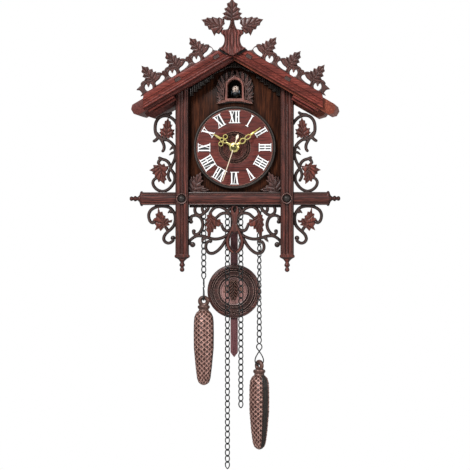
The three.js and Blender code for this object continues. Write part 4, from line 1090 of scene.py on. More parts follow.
def make_crossbar():
    """The moulded bar with a turned point on each end."""
    steps = [
        (0, 2.2), (1.5, 2.2), (1.6, 0.7), (2.4, 0.5), (2.8, 1.4), (3.2, 1.4), (3.6, 0.5), (5.4, 0.1),
        (7.9, 0.0), (10.0, 0.2), (11.4, 0.5), (11.8, 1.5), (12.2, 1.5), (12.5, 0.5), (13.3, 0.6),
        (13.4, 2.2), (15.5, 2.2),
    ]
    heights = [BAR_LOW + z for z, _ in steps]
    falls = [fall for _, fall in steps]
    outline = rectangle(-BAR_END, BAR_END, BAR_LOW, BAR_HIGH)
    depth = lambda x, z, edge: np.interp(z, heights, falls)
    creases = [((-120, z), (120, z)) for z in heights[1:-1]]
    shapes = [relief(outline, BAR_BACK, BAR_FRONT, depth, step=2.4, creases=creases)]
    collar = [
        (0, 110.6), (7.9, 110.6), (8.9, 111.4), (9.1, 112.6), (8.6, 113.6), (7.4, 114.2), (5.2, 114.8),
        (TIP_RADIUS, 115.6), (0, 115.6),
    ]
    middle_y = (BAR_BACK + BAR_FRONT) / 2
    tip = moved(turned_tip(11.4), (0, 0, 0), -90, "y")
    for side, _ in SIDES:
        points, faces = lathe(collar, axis="x", sides=32)
        points = points * (1, 0.52, 1) + (0, middle_y, BAR_MIDDLE)
        shapes.append(mirrored((points, faces), side))
        shapes.append(mirrored(moved(tip, (115.6, middle_y, BAR_MIDDLE)), side))
    piece("crossbar_moulding", shapes, "bar_wood", stands_for=["crossbar"])
    edges = [
        block((-BAR_END, BAR_END), (BAR_FRONT + 3, BAR_FRONT + 0.7), heights, 0.7)
        for heights in ((BAR_LOW, BAR_LOW + 1.3), (BAR_HIGH - 1.9, BAR_HIGH))
    ]
    piece("crossbar_edges", edges, "carved_wood")


def make_fringe():
    """The grooved board with a stepped edge under the gable."""
    steps = [
        (55, 61.6), (50, 62.6), (50, 67), (45, 67.6), (45, 70.6), (40, 71.4), (40, 74.6), (35, 75.4),
        (35, 78.4), (30, 79.2), (30, 82.6), (25.2, 83.4), (25.2, 88.6), (14, 92.5),
    ]
    half = [(55, RIDGE - 55 * math.tan(PITCH) - 0.6), *steps]
    outline = [(0, RIDGE - 0.6), *half, (8, 96), (-8, 96), *flipped(half)]
    grooves = np.arange(-52.5, 55, 2.5)

    def depth(x, z, edge):
        nearest = np.abs(x[:, None] - grooves).min(1)
        swell = 0.25 * np.sin(x * 0.7) * np.cos(z * 0.5)
        return eased(edge, 1.0, 0.9) + 1.1 * np.exp(-((nearest / 0.55) ** 2)) + swell + 0.3

    creases = [((x, 55), (x, 110)) for x in grooves]
    board = relief(outline, TRIM_BACK, TRIM_FRONT + 1, depth, step=1.0, creases=creases)
    piece("fringe_carving", [board], "black_wood", stands_for=["gable_fringe"])


# ---------------------------------------------------------------- vines
def knob(x, z, radius, back, front):
    """A round carved button seen from the front."""
    rise = abs(front - back)
    profile = [(0, back), (radius, back), (radius, back - 0.45 * rise)]
    for a in np.linspace(0.3, math.pi / 2, 6)[:-1]:
        profile.append((radius * math.cos(a), back - rise * (0.45 + 0.55 * math.sin(a))))
    return lathe(profile + [(0, front)], (x, 0, z), sides=20)


def strands(paths, widths, back, front):
    return [stroke(path, widths, back + 0.05 * i, front + 0.12 * (i % 3)) for i, path in enumerate(paths)]


UPPER_VINE = [
    [(69.5, 27), (72, 31.5), (76, 35.6), (81, 38), (86, 38.4), (91, 36.6), (95, 31.6), (96.4, 25),
     (95.8, 18), (93, 13.4),
     (88, 10), (82, 9.4), (77.4, 6.4), (73.6, 1.8), (72, -5), (72, -11), (74, -17), (77, -23), (80, -29),
     (80.4, -35), (77.4, -41)],
    [(81.5, 14.6), (84, 11.8), (88, 11.4), (92, 14.6), (95.4, 19)],
    [(92, 13.4), (95.6, 9.4), (99.4, 7.4)],
    [(91, 12.4), (87.6, 7.4), (85.6, 2.2), (86, -2.2), (88.4, -5.2)],
    [(88, 39), (83, 39.6), (79, 40.6), (76.2, 43)],
    [(77.6, -24), (79.8, -18.4), (83.6, -15), (88, -13.6), (92.8, -11.4)],
    [(88.6, -13.8), (91.6, -15.6), (93, -20)],
    [(78.6, -25), (75, -29), (72.8, -34), (73, -40), (76, -45.4), (80.6, -50), (86.6, -52.4), (92.8, -51),
     (97.6, -46.8),
     (99.2, -41.6), (97, -37.6), (93.4, -36.4)],
    [(72, 2), (75, 1), (79, -3)],
    [(71.6, -5), (75.4, -6), (79.6, -9)],
]
UPPER_LEAF = [
    (91.5, -17.6), (93.2, -20.8), (98.7, -20.6), (98, -23.8), (103.6, -27), (99.2, -29), (99.8, -31.4),
    (96.6, -32.6), (97, -36.2), (93.8, -37.4), (92, -41.6), (89.8, -39.6), (88.4, -41.4), (84.8, -44),
    (84.8, -40), (82.2, -38.2), (84, -35.4), (82, -31.6), (83.6, -29), (81, -26), (79.8, -21.8),
    (84, -22.2), (85.4, -18.8), (88, -20.6),
]
UPPER_LEAF_VEINS = [
    ((91, -19), (86, -42.6)), ((91, -20.5), (98, -21.6)), ((90.7, -22), (102, -26.8)),
    ((90.3, -24.6), (98.4, -31)), ((89.7, -28), (95.8, -35.8)), ((88.6, -33), (91.4, -40)),
    ((90.7, -21.5), (81.2, -22.8)), ((90.1, -25), (83, -31)), ((88.8, -31), (83.2, -37.6)),
]
LOWER_VINE = [
    [(96, -88), (99.6, -90.4), (103, -87.4), (104.2, -81), (102, -75.6), (97, -72), (91, -70.4),
     (85, -70.4), (79, -72),
     (75, -76), (72.4, -81), (72, -87), (73.4, -93), (77, -97.6), (81, -101), (84.6, -105), (86, -109.6),
     (84, -113.4), (80, -114.8), (76, -113), (73.6, -109.6)],
    [(81, -100.6), (82.6, -97), (85, -94.6)],
    [(74, -74.6), (77, -75.2), (81.2, -78.8)],
    [(79, -69.6), (88, -69), (97, -69.6)],
]
LOWER_LEAF = [
    (92.6, -71.2), (90.4, -77.2), (87.6, -76.8), (86.6, -81), (83.8, -82), (84.2, -85), (80.6, -84.8),
    (79.6, -87.6), (75.3, -86.4), (76.6, -90), (80.6, -90.4), (78.2, -93.2), (83, -94.2), (83, -96.8),
    (86, -96.4), (89.8, -100.4), (91.8, -97), (96.8, -99.6), (94.8, -94.4), (97, -91.6), (95.6, -88.6),
    (100, -88.4), (97.6, -85), (95, -83.6), (96, -79.6), (93.2, -78.6),
]
LOWER_LEAF_VEINS = [
    ((85, -94.6), (92.2, -73)), ((85.4, -93.6), (76.6, -87.4)), ((86, -92), (81.2, -85.6)),
    ((86, -93), (79.6, -92.8)), ((87, -89), (84.6, -82.6)), ((88.6, -84), (88, -77.6)),
    ((86, -93.4), (89.8, -99.2)), ((86.6, -92.6), (95.6, -98.4)), ((87, -91), (98.6, -88.2)),
    ((88.4, -86.4), (95, -80.4)),
]


def make_vines(side, name):
    back, front = TRIM_BACK, TRIM_FRONT
    upper = strands(UPPER_VINE[:8], [1.9, 1.95, 1.9, 1.75], back, front + 0.4)
    upper += [stroke(path, [1.5, 1.7, 0.5], back, front + 0.6) for path in UPPER_VINE[8:]]
    leaf_back, leaf_front = back - 0.4, front - 0.5
    leaves = [
        leaf((82.4, 12.6), (80.6, 36.4), 9.6, leaf_back, leaf_front, MAPLE, 1.4),
        veined(UPPER_LEAF, UPPER_LEAF_VEINS, leaf_back, leaf_front, 1.4, UPPER_LEAF_VEINS[0], 10),
        veined(LOWER_LEAF, LOWER_LEAF_VEINS, leaf_back, leaf_front, 1.4, LOWER_LEAF_VEINS[0], 10),
    ]
    piece(f"vine_leaves_{name}", on_side(leaves, side), "vine_leaf")
    piece(f"upper_vine_carving_{name}", on_side(upper, side), "carved_wood",
          stands_for=[f"vine_upper_{name}"])
    lower = strands(LOWER_VINE[:2], [1.8, 2.0, 2.0, 1.85], back, front + 0.4)
    lower += [stroke(path, [1.7, 1.8, 0.6], back, front + 0.7) for path in LOWER_VINE[2:]]
    lower.append(knob(74.8, -108.6, 2.9, back - 0.1, front + 0.2))
    lower.append(knob(77, -77.4, 1.7, back - 0.1, front + 0.5))
    piece(f"lower_vine_carving_{name}", on_side(lower, side), "carved_wood",
          stands_for=[f"vine_lower_{name}"])


APRON_STRANDS = [
    [(0.6, -97), (2, -90), (3.4, -84), (7.4, -79.8), (12, -78.6), (17, -79.8), (21, -83), (24.5, -86)],
    [(2.4, -92), (4.4, -97), (8.6, -100), (13, -98.8), (15.2, -95), (16.6, -91.4)],
    [(6, -80), (9.4, -76), (13.6, -72.8), (19, -71), (24, -72), (28, -75.8), (31, -81)],
    [(55.6, -85), (51, -82), (46, -81.6), (41.4, -84.4), (39, -90), (39.2, -96), (42, -101.4), (46, -104.4),
     (49.6, -103),
     (50.2, -100)],
    [(51.6, -83.4), (53.4, -86), (52.4, -89)],
    [(46.6, -69.6), (48.4, -74), (47.4, -78.6), (43.2, -81.2), (39, -80), (35, -76.6), (32, -73)],
    [(31, -70), (33.6, -75.4), (37.4, -77.2), (39.4, -74), (38.4, -70)],
    [(51, -116.8), (54.2, -115.4), (54.4, -112), (50.6, -108.4), (46, -106.2), (40, -106.2), (33, -108),
     (26, -109.8), (19, -109.4), (12, -106.8),
     (6, -102.4), (1.4, -97)],
    [(1.6, -98), (6, -103.6), (11, -111), (15.4, -118), (21, -124), (26.8, -127), (32, -126), (35, -121),
     (34.4, -115.4),
     (31, -111.6)],
    [(4, -71), (6.6, -73.6), (8.6, -77.6)],
]
APRON_LEAF = [
    (28.4, -76.2), (30, -80), (33.6, -80.8), (33.2, -84.2), (35.4, -86.5), (33.8, -89), (35.5, -93),
    (33.4, -95.5), (34.8, -99.6), (32.9, -101.6), (32.6, -107.4), (29.6, -107.2), (28.6, -101.6),
    (26.2, -102), (25.5, -97.6), (22.6, -98.2), (22.4, -94.6), (19, -95.2), (17.4, -93), (14, -91.5),
    (17, -89.4), (17.6, -85.8), (21.6, -86.2), (24, -83.2), (27, -81),
]
APRON_LEAF_VEINS = [
    ((29, -78), (31, -105.6)), ((29.6, -83.4), (15.6, -91.3)), ((29.8, -86), (23, -97)),
    ((30.2, -91), (26.6, -100.6)), ((29.8, -84), (34.6, -87)), ((30.2, -89), (34.8, -93)),
    ((30.6, -95), (34, -99.4)), ((29.5, -82), (18.6, -86.6)),
]


def make_apron():
    """The scrolls between the posts, which spring from a trunk in the middle."""
    back, front = TRIM_BACK, TRIM_FRONT
    half = [(3.8, -69.4), (4.8, -74), (5.2, -78), (3.8, -83), (3.1, -89), (3.4, -95), (3.9, -99.4),
            (0, -103)]
    right = smooth(half, step=0.8)
    outline = [*right, *flipped(right[:-1])]
    diamond = [(0, -69.8), (2.1, -73.8), (0, -78.4), (-2.1, -73.8)]
    gouge = lambda x, z, edge: eased(edge, 1.2, 1.3) + 0.5 * (0.5 - 0.5 * np.cos(x * 2.4)) * np.clip(edge,
                                                                                                     0, 1)
    trunk = [relief(outline, back - 0.2, front - 0.4, gouge, [diamond], 0.7)]
    fork = [(1.6, -91), (3.6, -98), (7.2, -105.4), (8.8, -112), (8, -118.6), (4.8, -123.6), (0.4, -126.6)]
    trunk += [mirrored(stroke(fork, [1.6, 2.4, 2.5, 2.0], back, front - 0.3), side) for side, _ in SIDES]
    piece("apron_trunk", trunk, "trunk_wood")
    shapes, leaves = [], []
    for side, _ in SIDES:
        half_shapes = strands(APRON_STRANDS, [1.8, 1.95, 1.95, 1.75], back, front + 0.35)
        apron_leaf = veined(APRON_LEAF, APRON_LEAF_VEINS, back - 0.4, front - 0.5, 1.4, APRON_LEAF_VEINS[0],
                            11)
        leaves.append(mirrored(apron_leaf, side))
        buttons = [(53, -89, 2.6), (49.6, -100.4, 2.4), (51, -116.6, 3.3), (29.6, -112.4, 2.4),
                   (32.4, -73.4, 1.9)]
        half_shapes += [knob(x, z, r, back - 0.1, front + 0.2) for x, z, r in buttons]
        half_shapes.append(leaf((35, -106.4), (40.8, -114), 2.6, back, front + 0.4, SERRATED, 0.3, 0.4))
        shapes += on_side(half_shapes, side)
    shapes.append(block((-54.9, 54.9), (back, back - 2.4), (-72, BAR_LOW), 0.4))
    shapes.append(block((-3, 3), (back, back - 1.2), (-79.4, -69.2), 0.2))
    piece("apron_carving", shapes, "carved_wood", stands_for=["apron_scroll"])
    piece("apron_leaves", leaves, "vine_leaf")


# ---------------------------------------------------------------- window frame and corner leaves
WINDOW_HALF, WINDOW_LOW, WINDOW_SPRING = 8.5, 59.5, 73.0


def arch(half, low, spring, steps=14):
    turns = np.linspace(0, math.pi, steps)
    return [(-half, low), (half, low), *[(half * math.cos(a), spring + half * math.sin(a)) for a in turns]]


def make_window():
    """The arched frame round the bird's window with long leaves beside it."""
    back, front = TRIM_BACK, TRIM_FRONT
    half = smooth([
        (20.5, 52.4), (22, 56), (20.4, 60), (22.2, 64), (21.4, 69), (22.6, 73), (21, 79), (19.2, 83),
        (16.4, 86.4), (12.6, 89.6), (8, 92), (3.2, 91),
    ], step=0.9)
    outline = [(0, 54.2), *half, (0, 88.6), *flipped(half)]
    opening = arch(WINDOW_HALF, WINDOW_LOW, WINDOW_SPRING)
    backing = relief(outline, back, front + 2.4, lambda x, z, edge: eased(edge, 0.8, 0.6), [opening], 1.2)
    piece("window_backing", [backing], "black_wood", stands_for=["window_frame"])

    right_rim = [(12.2, 60), (11.6, 68), (11.4, 75), (9.4, 80.4), (5.4, 83.8), (2.6, 85.6), (0, 88)]
    rim, other_rim = smooth(right_rim), smooth(flipped(right_rim))
    rim_outline = [(-12.4, 55.6), (12.4, 55.6), *rim, *other_rim[1:]]
    rim_depth = lambda x, z, edge: eased(edge, 1.5, 1.5)
    shapes = [relief(rim_outline, back - 0.1, front - 1.1, rim_depth, [arch(8.4, 59.4, 73)], 0.7)]
    sill = [(-11, 57.4), (-17, 56.6), (-21.6, 52.8), (-16, 53.4), (-8, 55), (0, 55.3), (8, 55), (16, 53.4),
            (21.6, 52.8), (17, 56.6), (11, 57.4), (6, 58.6), (0, 59), (-6, 58.6)]
    lines = [((-20, 53.6), (-10, 56)), ((20, 53.6), (10, 56)), ((-8, 56.8), (8, 56.8))]
    shapes.append(veined(smooth(sill, closed=True), lines, back - 0.2, front - 1.4, 0, None, groove=0.5))
    piece("window_rim", shapes, "rim_wood")

    side_leaves = []
    blades = [
        ((14.2, 57), (21.6, 67.4), 2.6), ((13.6, 62.6), (22, 75.6), 2.8), ((13.2, 68.4), (20.4, 82.4), 2.8),
        ((12.6, 74), (16.2, 87.4), 2.7), ((9.6, 79.6), (9.4, 92), 2.6), ((5.4, 83), (1.6, 94), 2.4),
        ((14.6, 59.6), (22.4, 61.2), 2.0), ((15, 60), (21.6, 54.6), 2.4),
    ]
    pattern = [(0.1, 0), (0.7, 0.12), (1.0, 0.34), (0.92, 0.55), (0.62, 0.8), (0, 1)]
    for i, (base, tip, width) in enumerate(blades):
        leaf_front = front - 0.2 + 0.2 * (i % 3)
        side_leaves.append(leaf(base, tip, width, back - 0.3, leaf_front, pattern, 0.9, 0.55))
    stalk = [(13, 56.6), (13.4, 64), (12.8, 72), (10.4, 79), (6, 83.6), (1.6, 87.4)]
    side_leaves.append(stroke(stalk, [1.1, 1.2, 1.0], back, front - 0.2))
    shapes = [mirrored(shape, side) for side, _ in SIDES for shape in side_leaves]
    piece("window_leaves", shapes, "leaf_wood")


def make_chamber():
    """A box that the bird stands in, open at the front and along the bottom, in near-black wood: painted
    shade inside the window.
    """
    front, rear = depths("front_board")[0] + 0.4, -29.6
    sides = [block((x - 0.5, x + 0.5), (front, rear), (59, 84), 0.1) for x in (-12.5, 12.5)]
    rear_wall = block((-12, 12), (rear - 1, rear), (59, 84), 0.1)
    ceiling = block((-12, 12), (front, rear - 1), (83, 84), 0.1)
    piece("bird_chamber_painted_shade", [*sides, rear_wall, ceiling], "black_wood")


def make_corner_leaves(side, name):
    """Vine leaves that fill the corner between dial, post and crossbar."""
    back, front = TRIM_BACK, TRIM_FRONT
    blades = [
        leaf((50.4, -52.8), (40.6, -29), 10.4, back - 0.2, front - 0.3, MAPLE, 1.2),
        leaf((51, -51), (30.4, -50.8), 6.8, back - 0.5, front + 0.3, MAPLE, 0.9),
        leaf((52, -50), (52.4, -34.4), 4.6, back - 0.5, front + 0.5, SERRATED, 0.8),
    ]
    stem = [(54.6, -47), (52.4, -51), (47, -53.6), (41, -53.6)]
    stems = [stroke(stem, [1.2, 1.5, 0.8], back, front + 0.8)]
    shapes = on_side(blades + stems, side)
    piece(f"corner_leaves_{name}", shapes, "leaf_wood",
          stands_for=[f"corner_leaf_{name}"])


# ---------------------------------------------------------------- dial
NUMERALS = ("XII", "I", "II", "III", "IIII", "V", "VI", "VII", "VIII", "IX", "X", "XI")
NUMERAL_LOW, NUMERAL_HIGH = 29.3, 44.2
ADVANCE = {"I": 3.15, "V": 6.7, "X": 6.9}


def bar(start, end, width, back, front):
    """A straight raised stroke of a numeral, with level ends."""
    (x0, z0), (x1, z1) = start, end
    lean = math.hypot(x1 - x0, z1 - z0) / abs(z1 - z0)
    half = width * lean / 2
    return prism([(x0 - half, z0), (x0 + half, z0), (x1 + half, z1), (x1 - half, z1)], back, front, 0.1)


def numeral(text, back, front):
    """One hour's numeral, upright and centred, between the two numeral circles, and a near-black ground
    between its letters: painted shade.
    """
    low, high = NUMERAL_LOW, NUMERAL_HIGH
    width = sum(ADVANCE[letter] for letter in text)
    at = -width / 2
    shapes, shade_grounds = [], []
    for i, letter in enumerate(text):
        step = ADVANCE[letter]
        if i:
            before = text[i - 1]
            start, end = at - ADVANCE[before] / 2, at + step / 2
            # Near-black ground between two letters: painted shade.
            shade_grounds.append(prism(rectangle(start, end, low, high), back, front + 0.5, 0.05))
            if before == letter == "I":
                half_way = (low + high) / 2
                link = rectangle(start, end, half_way - 0.5, half_way + 0.5)
                shapes.append(prism(link, back, front + 0.1, 0.1))
        if letter == "I":
            shapes.append(bar((at + step / 2, low), (at + step / 2, high), 1.5, back, front))
        else:
            foot = at + step - 1.3 if letter == "X" else at + step / 2
            thin_foot = at + 1.0 if letter == "X" else at + step / 2
            shapes.append(bar((foot, low), (at + 1.3, high), 1.75, back, front))
            shapes.append(bar((thin_foot, low), (at + step - 0.9, high), 0.75, back, front + 0.04))
        at += step
    for z in (low, high - 0.8):
        if z == low and text[-1] == "V":
            continue
        serif = rectangle(-width / 2 - 0.3, width / 2 + 0.3, z, z + 0.8)
        shapes.append(prism(serif, back, front + 0.08, 0.1))
    return shapes, shade_grounds


def make_dial():
    face = DIAL_FRONT + 0.8
    hole = 3.95
    profile = [
        (hole, DIAL_BACK), (46.3, DIAL_BACK), (46.3, face + 0.3), (46.1, face - 0.3), (45.7, face - 0.3),
        (45.4, face), (25.6, face), (24.6, face - 0.12), (23.4, face + 0.05), (19.2, face + 0.1),
    ]
    for radius in (18.2, 15.6):
        profile += [
            (radius + 1.3, face), (radius + 0.9, face - 0.45), (radius + 0.6, face),
            (radius + 0.4, face + 1.5),
            (radius - 0.4, face + 1.5), (radius - 0.6, face), (radius - 0.9, face - 0.45),
            (radius - 1.2, face + 0.2),
        ]
    profile += [(14.0, face + 1.3), (hole, face + 1.3)]
    piece("dial_turning", [lathe(profile, sides=128)], "dial_wood", stands_for=["dial"],
          sharp=30)
    well = [(hole, face + 1.25), (13.9, face + 1.25), (13.9, face + 0.9)]
    for radius in (12.7, 10.9, 9.1):
        well += [(radius + 0.6, face + 1.0), (radius, face + 0.3), (radius - 0.6, face + 1.0)]
    well += [(hole, face + 0.9)]
    piece("dial_well", [lathe(well, sides=96)], "dark_wood")
    bezel = [
        (46.4, DIAL_BACK), (DIAL_RADIUS, DIAL_BACK), (DIAL_RADIUS, DIAL_FRONT + 1.4),
        (49.0, DIAL_FRONT + 0.5), (48.2, DIAL_FRONT + 0.2), (47.4, DIAL_FRONT + 0.6), (46.9, face + 0.5),
        (46.4, face + 0.6),
    ]
    piece("dial_bezel", [lathe(bezel, sides=128)], "black_wood", sharp=30)
    shapes, shade_grounds = [], []
    for hour, text in enumerate(NUMERALS):
        strokes, shade_ground = numeral(text, face + 0.2, face - 0.7)
        shapes += [moved(shape, turn=30 * hour) for shape in strokes]
        shade_grounds += [moved(shape, turn=30 * hour) for shape in shade_ground]
    piece("dial_numerals", shapes, "white_numeral")
    piece("dial_numeral_shade", shade_grounds, "black_plastic")


# ---------------------------------------------------------------- hands
REST_ANGLE = {"hour": 302.6, "minute": 53.4, "second": 198.5}
FLAT_SECTION = [(-1, 0), (-1, 0.55), (-0.6, 0.95), (0, 1), (0.6, 0.95), (1, 0.55), (1, 0)]


def make_hand(name, lines, loops, hub, material):
    """A pierced hand drawn pointing up, then turned to where it stands at rest."""
    back, front = depths(f"{name}_hand")
    shapes = [stroke(path, widths, back, front, section=FLAT_SECTION, step=0.6) for path, widths in lines]
    shapes += [
        stroke(path, [width], back, front, True, FLAT_SECTION, 0.6) for path, width in loops
    ]
    dome = [(0.8, back), (hub, back), (hub, back - 0.5), (hub - 0.5, front + 0.15), (hub * 0.6, front),
            (0.8, front)]
    shapes.append(lathe(dome, sides=40))
    shapes = [moved(shape, turn=REST_ANGLE[name]) for shape in shapes]
    piece(f"{name}_hand_pierced", shapes, material, name, [f"{name}_hand"])


def make_hands():
    make_hand("hour", [
        ([(0, 4), (0, 8), (0, 11.4)], [2.5, 1.5, 1.1]),
        ([(0, 19.4), (0, 23), (0, 31)], [1.5, 1.3, 0.35]),
    ], [
        (loop(-5.1, 15.8, 2.5, 2.5), 0.65), (loop(5.1, 15.8, 2.5, 2.5), 0.65),
        (loop(0, 13.2, 1.9, 2.0), 0.65),
        (loop(0, 17.6, 1.9, 2.1), 0.65),
    ], 5.8, "gold")
    make_hand("minute", [
        ([(0, 3.6), (0, 6.8), (0, 9.2)], [2.3, 1.6, 1.1]),
        ([(0, 24.4), (0, 26.4), (0, 33), (0, 40)], [1.2, 1.1, 0.8, 0.3]),
    ], [(loop(0, 12.8, 2.8, 3.6), 0.8), (loop(0, 20.6, 2.3, 3.8), 0.8)], 5.0, "gold")
    make_hand("second", [
        ([(0, -9.6), (0, 20), (0, 43)], [0.55, 0.5, 0.4]),
        ([(0, -16.2), (0, -13.6), (0, -9)], [0.7, 1.8, 0.5]),
        ([(0, 31.6), (0, 33.8), (0, 36)], [0.3, 0.85, 0.3]),
    ], [], 2.4, "pale_gold")
    nut = [(3.95, 0.2), (6.3, 0.2), (6.3, -1.6), (5.8, -2.1), (3.95, -2.1)]
    piece("bush_nut_turned", [lathe(nut, (0, DIAL_FRONT, 0), sides=6)], "brass",
          stands_for=["bush_nut"])
    low = span("second_hand", 1)[0]
    cap = [(0, low + 0.6), (3.3, low + 0.6), (3.5, low + 0.1), (3.2, low - 0.6), (2.2, low - 1.2),
           (0, low - 1.5)]
    piece("hand_cap", [lathe(cap, sides=32)], "old_gold", "second")


# ---------------------------------------------------------------- pendulum
def make_pendulum():
    """A flat lath with an eye at the top, and a turned disc with a leaf carved in its field."""
    x, _, z = middle("pendulum_disc")
    left, right = span("pendulum_disc", 0)
    radius = (right - left) / 2
    back, front = depths("pendulum_rod")
    tip = span("pendulum_rod", 2)[0]
    half = 4.5
    right_edge = [(2.6, -36), (half, -43), (half, tip + 6.4), (half - 0.4, tip + 5.2)]
    strip = [(-half, -43), (-2.6, -36), *right_edge, (0, tip), (-half + 0.4, tip + 5.2), (-half, tip + 6.4)]
    eye = [(1.6, back), (3.4, back), (3.4, front), (1.6, front)]
    shapes = [moved(prism(strip, back, front, 0.5), (x, 0, 0)), lathe(eye, (x, 0, -34), sides=32)]
    piece("pendulum_lath", shapes, "purple_wood", "pendulum", ["pendulum_rod"])
    back, face = depths("pendulum_disc")
    floor = face + 2.4
    profile = [
        (0, back), (radius, back), (radius, back - 1.6), (radius - 0.4, face + 1.2),
        (radius - 1.6, face + 0.5), (28.9, face + 0.3), (28.1, face + 0.8), (27.9, floor),
    ]
    for ring in (26.7, 24.2, 19.3):
        profile += [
            (ring + 0.85, floor), (ring + 0.4, face + 0.4), (ring, face + 0.1), (ring - 0.4, face + 0.4),
            (ring - 0.85, floor),
        ]
    profile += [(17.4, floor), (0, floor)]
    piece("pendulum_turning", [lathe(profile, (x, 0, z), sides=120)], "copper_wood", "pendulum",
          ["pendulum_disc"], 30)
    field = [
        (0, floor + 0.2), (17.3, floor + 0.2), (17.3, floor - 0.6), (16.7, floor - 1.7),
        (15.9, floor - 1.4), (15.3, floor - 0.2), (0, floor - 0.1),
    ]
    piece("pendulum_field", [lathe(field, (x, 0, z), sides=96)], "copper_bright", "pendulum")
    carving_front = face + 0.2
    shapes = [
        leaf((-0.6, 12.6), (-0.8, -11.8), 5.8, floor, carving_front - 0.8, SMOOTH_LEAF, 0.6, 1.3),
        stroke([(-5.4, 10.6), (-2.6, 13.4), (-0.4, 11.6), (2.2, 13.4), (4.8, 10.6)],
               [0.6, 0.8, 0.7, 0.8, 0.6], floor,
               carving_front),
    ]
    for side, _ in SIDES:
        for base, end, width in (((7.4, 3.6), (12.8, 7.8), 2.4), ((7.6, 1.6), (13.2, -1.6), 2.6)):
            blade = leaf(base, end, width, floor, carving_front + 0.6, SERRATED, 0.6, 0.6)
            shapes.append(mirrored(blade, side))
    piece("pendulum_leaf", [moved(shape, (x, 0, z)) for shape in shapes], "leaf_copper", "pendulum")


# ---------------------------------------------------------------- chains, hooks and cones
STRANDS = {
    "chain_left_weight": ("left_weight_chain", 8), "chain_left_free": ("left_free_chain", -14),
    "chain_right_free": ("right_free_chain", 10), "chain_right_weight": ("right_weight_chain", 52),
}  # the body of each strand, and the most that its links turn about it
LINK_PITCH, LINK_WIDTH, LINK_WIRE = 7.3, 6.4, 0.72


def chain_link(x, y, top, turn):
    """One oval link, twisted so that its two ends stand square to each other."""
    half_long = LINK_PITCH / 2 + LINK_WIRE
    half_wide = LINK_WIDTH / 2 - LINK_WIRE
    points = []
    for a in np.linspace(0, 2 * math.pi, 22, endpoint=False):
        across = half_wide * math.copysign(abs(math.sin(a)) ** 0.85, math.sin(a))
        down = half_long * math.cos(a)
        twist = math.radians(turn + 42 * down / half_long)
        points.append((x + across * math.cos(twist), y + across * math.sin(twist),
                       top - LINK_PITCH / 2 + down))
    return wire(points, LINK_WIRE, True, 6)


def make_chains():
    for node, (body, swing) in STRANDS.items():
        x, y, _ = middle(node)
        end, top = span(node, 2)
        count = round((top - end) / LINK_PITCH)
        shapes = []
        for i in range(count):
            z = top - (i + 0.1) * (top - end) / count
            turn = swing * math.sin(math.pi * min(1.0, i / count)) + 4 * math.sin(1.7 * i)
            shapes.append(chain_link(x, y, z, turn))
        piece(f"{node}_links", shapes, "gunmetal", body, [node], 60)


def make_hooks():
    """Figure-of-eight wire hooks between chain and cone."""
    flat = [
        (0, -3.5), (2.6, -3.1), (4.5, -1.4), (5.1, 2), (3.9, 6), (1.4, 10.4), (-0.7, 13.4), (-2.9, 16.4),
        (-3.1, 19), (-1.6, 21.2), (0, 21.7), (1.6, 21.2), (3.1, 19), (2.9, 16.4), (0.7, 13.4), (-1.4, 10.4),
        (-3.9, 6), (-5.1, 2), (-4.5, -1.4), (-2.6, -3.1),
    ]
    line = smooth(flat, closed=True, step=0.7)
    for _, name in SIDES:
        x, y, _ = middle(f"hook_{name}")
        hang = span(f"hook_{name}", 2)[0] + 4.65
        points = []
        for i, (across, up) in enumerate(line):
            lift = 0.62 * math.copysign(1, across) * math.exp(-((up - 12) / 2.2) ** 2)
            lift = -lift if i < len(line) / 2 else lift
            place = (lift, across) if name == "left" else (across, lift)
            points.append((x + place[0], y + place[1], hang + up))
        shape = wire(points, LINK_WIRE, True, 8)
        piece(f"hook_wire_{name}", [shape], "gunmetal", f"{name}_weight_chain", [f"hook_{name}"], 60)


CONE_PROFILE = [
    (0, 5.2), (1.6, 7.2), (4.2, 9.4), (8.6, 11.3), (15, 12.0), (29, 12.2), (46, 12.0), (57, 11.0),
    (68.5, 9.9), (76, 9.0), (83, 8.1), (87.4, 6.6), (90.0, 4.4), (91.3, 1.7),
]
SCALE_ROW = 2.85
SCALES_ROUND = 11
LIP_DIP = 1.05 * SCALE_ROW
SCALE_LENGTH = 2.5 * SCALE_ROW
SEAM_HALF = 0.42
CONE_FLAT = 0.9
CONE_TURNS = {"left": 0, "right": -46}  # the right cone shows one of its seams


def scales(angle, drop):
    """How far the overlapping scales stand out of the cone, in mm, and a mark, 1 at each lip falling to 0,
    that the material turns into a painted highlight at the lip and painted shade under it.

    `drop` is the way down the cone. Each row covers the one below. Of the scales that reach down
    past a point, the highest row shows.
    """
    wide = 2 * math.pi / SCALES_ROUND
    row_here = np.floor(drop / SCALE_ROW)
    height = np.full(angle.shape, 0.1)
    lip_light_mark = np.zeros(angle.shape)
    done = np.zeros(angle.shape, dtype=bool)
    for back_row in (3, 2, 1, 0):
        row = row_here - back_row
        cell = angle / wide + np.where(row % 2 == 0, 0.0, 0.5)
        across = (cell - np.floor(cell)) * 2 - 1
        lip = (row + 1) * SCALE_ROW + LIP_DIP * (1 - np.abs(across) ** 1.5)
        covers = (lip > drop) & ~done
        near = 1 - np.clip((lip - drop) / SCALE_LENGTH, 0, 1)
        height = np.where(covers, 1.7 * near ** 0.9 * (1 - 0.3 * np.abs(across) ** 2), height)
        lip_light_mark = np.where(covers, near, lip_light_mark)
        done |= covers
    return height, lip_light_mark


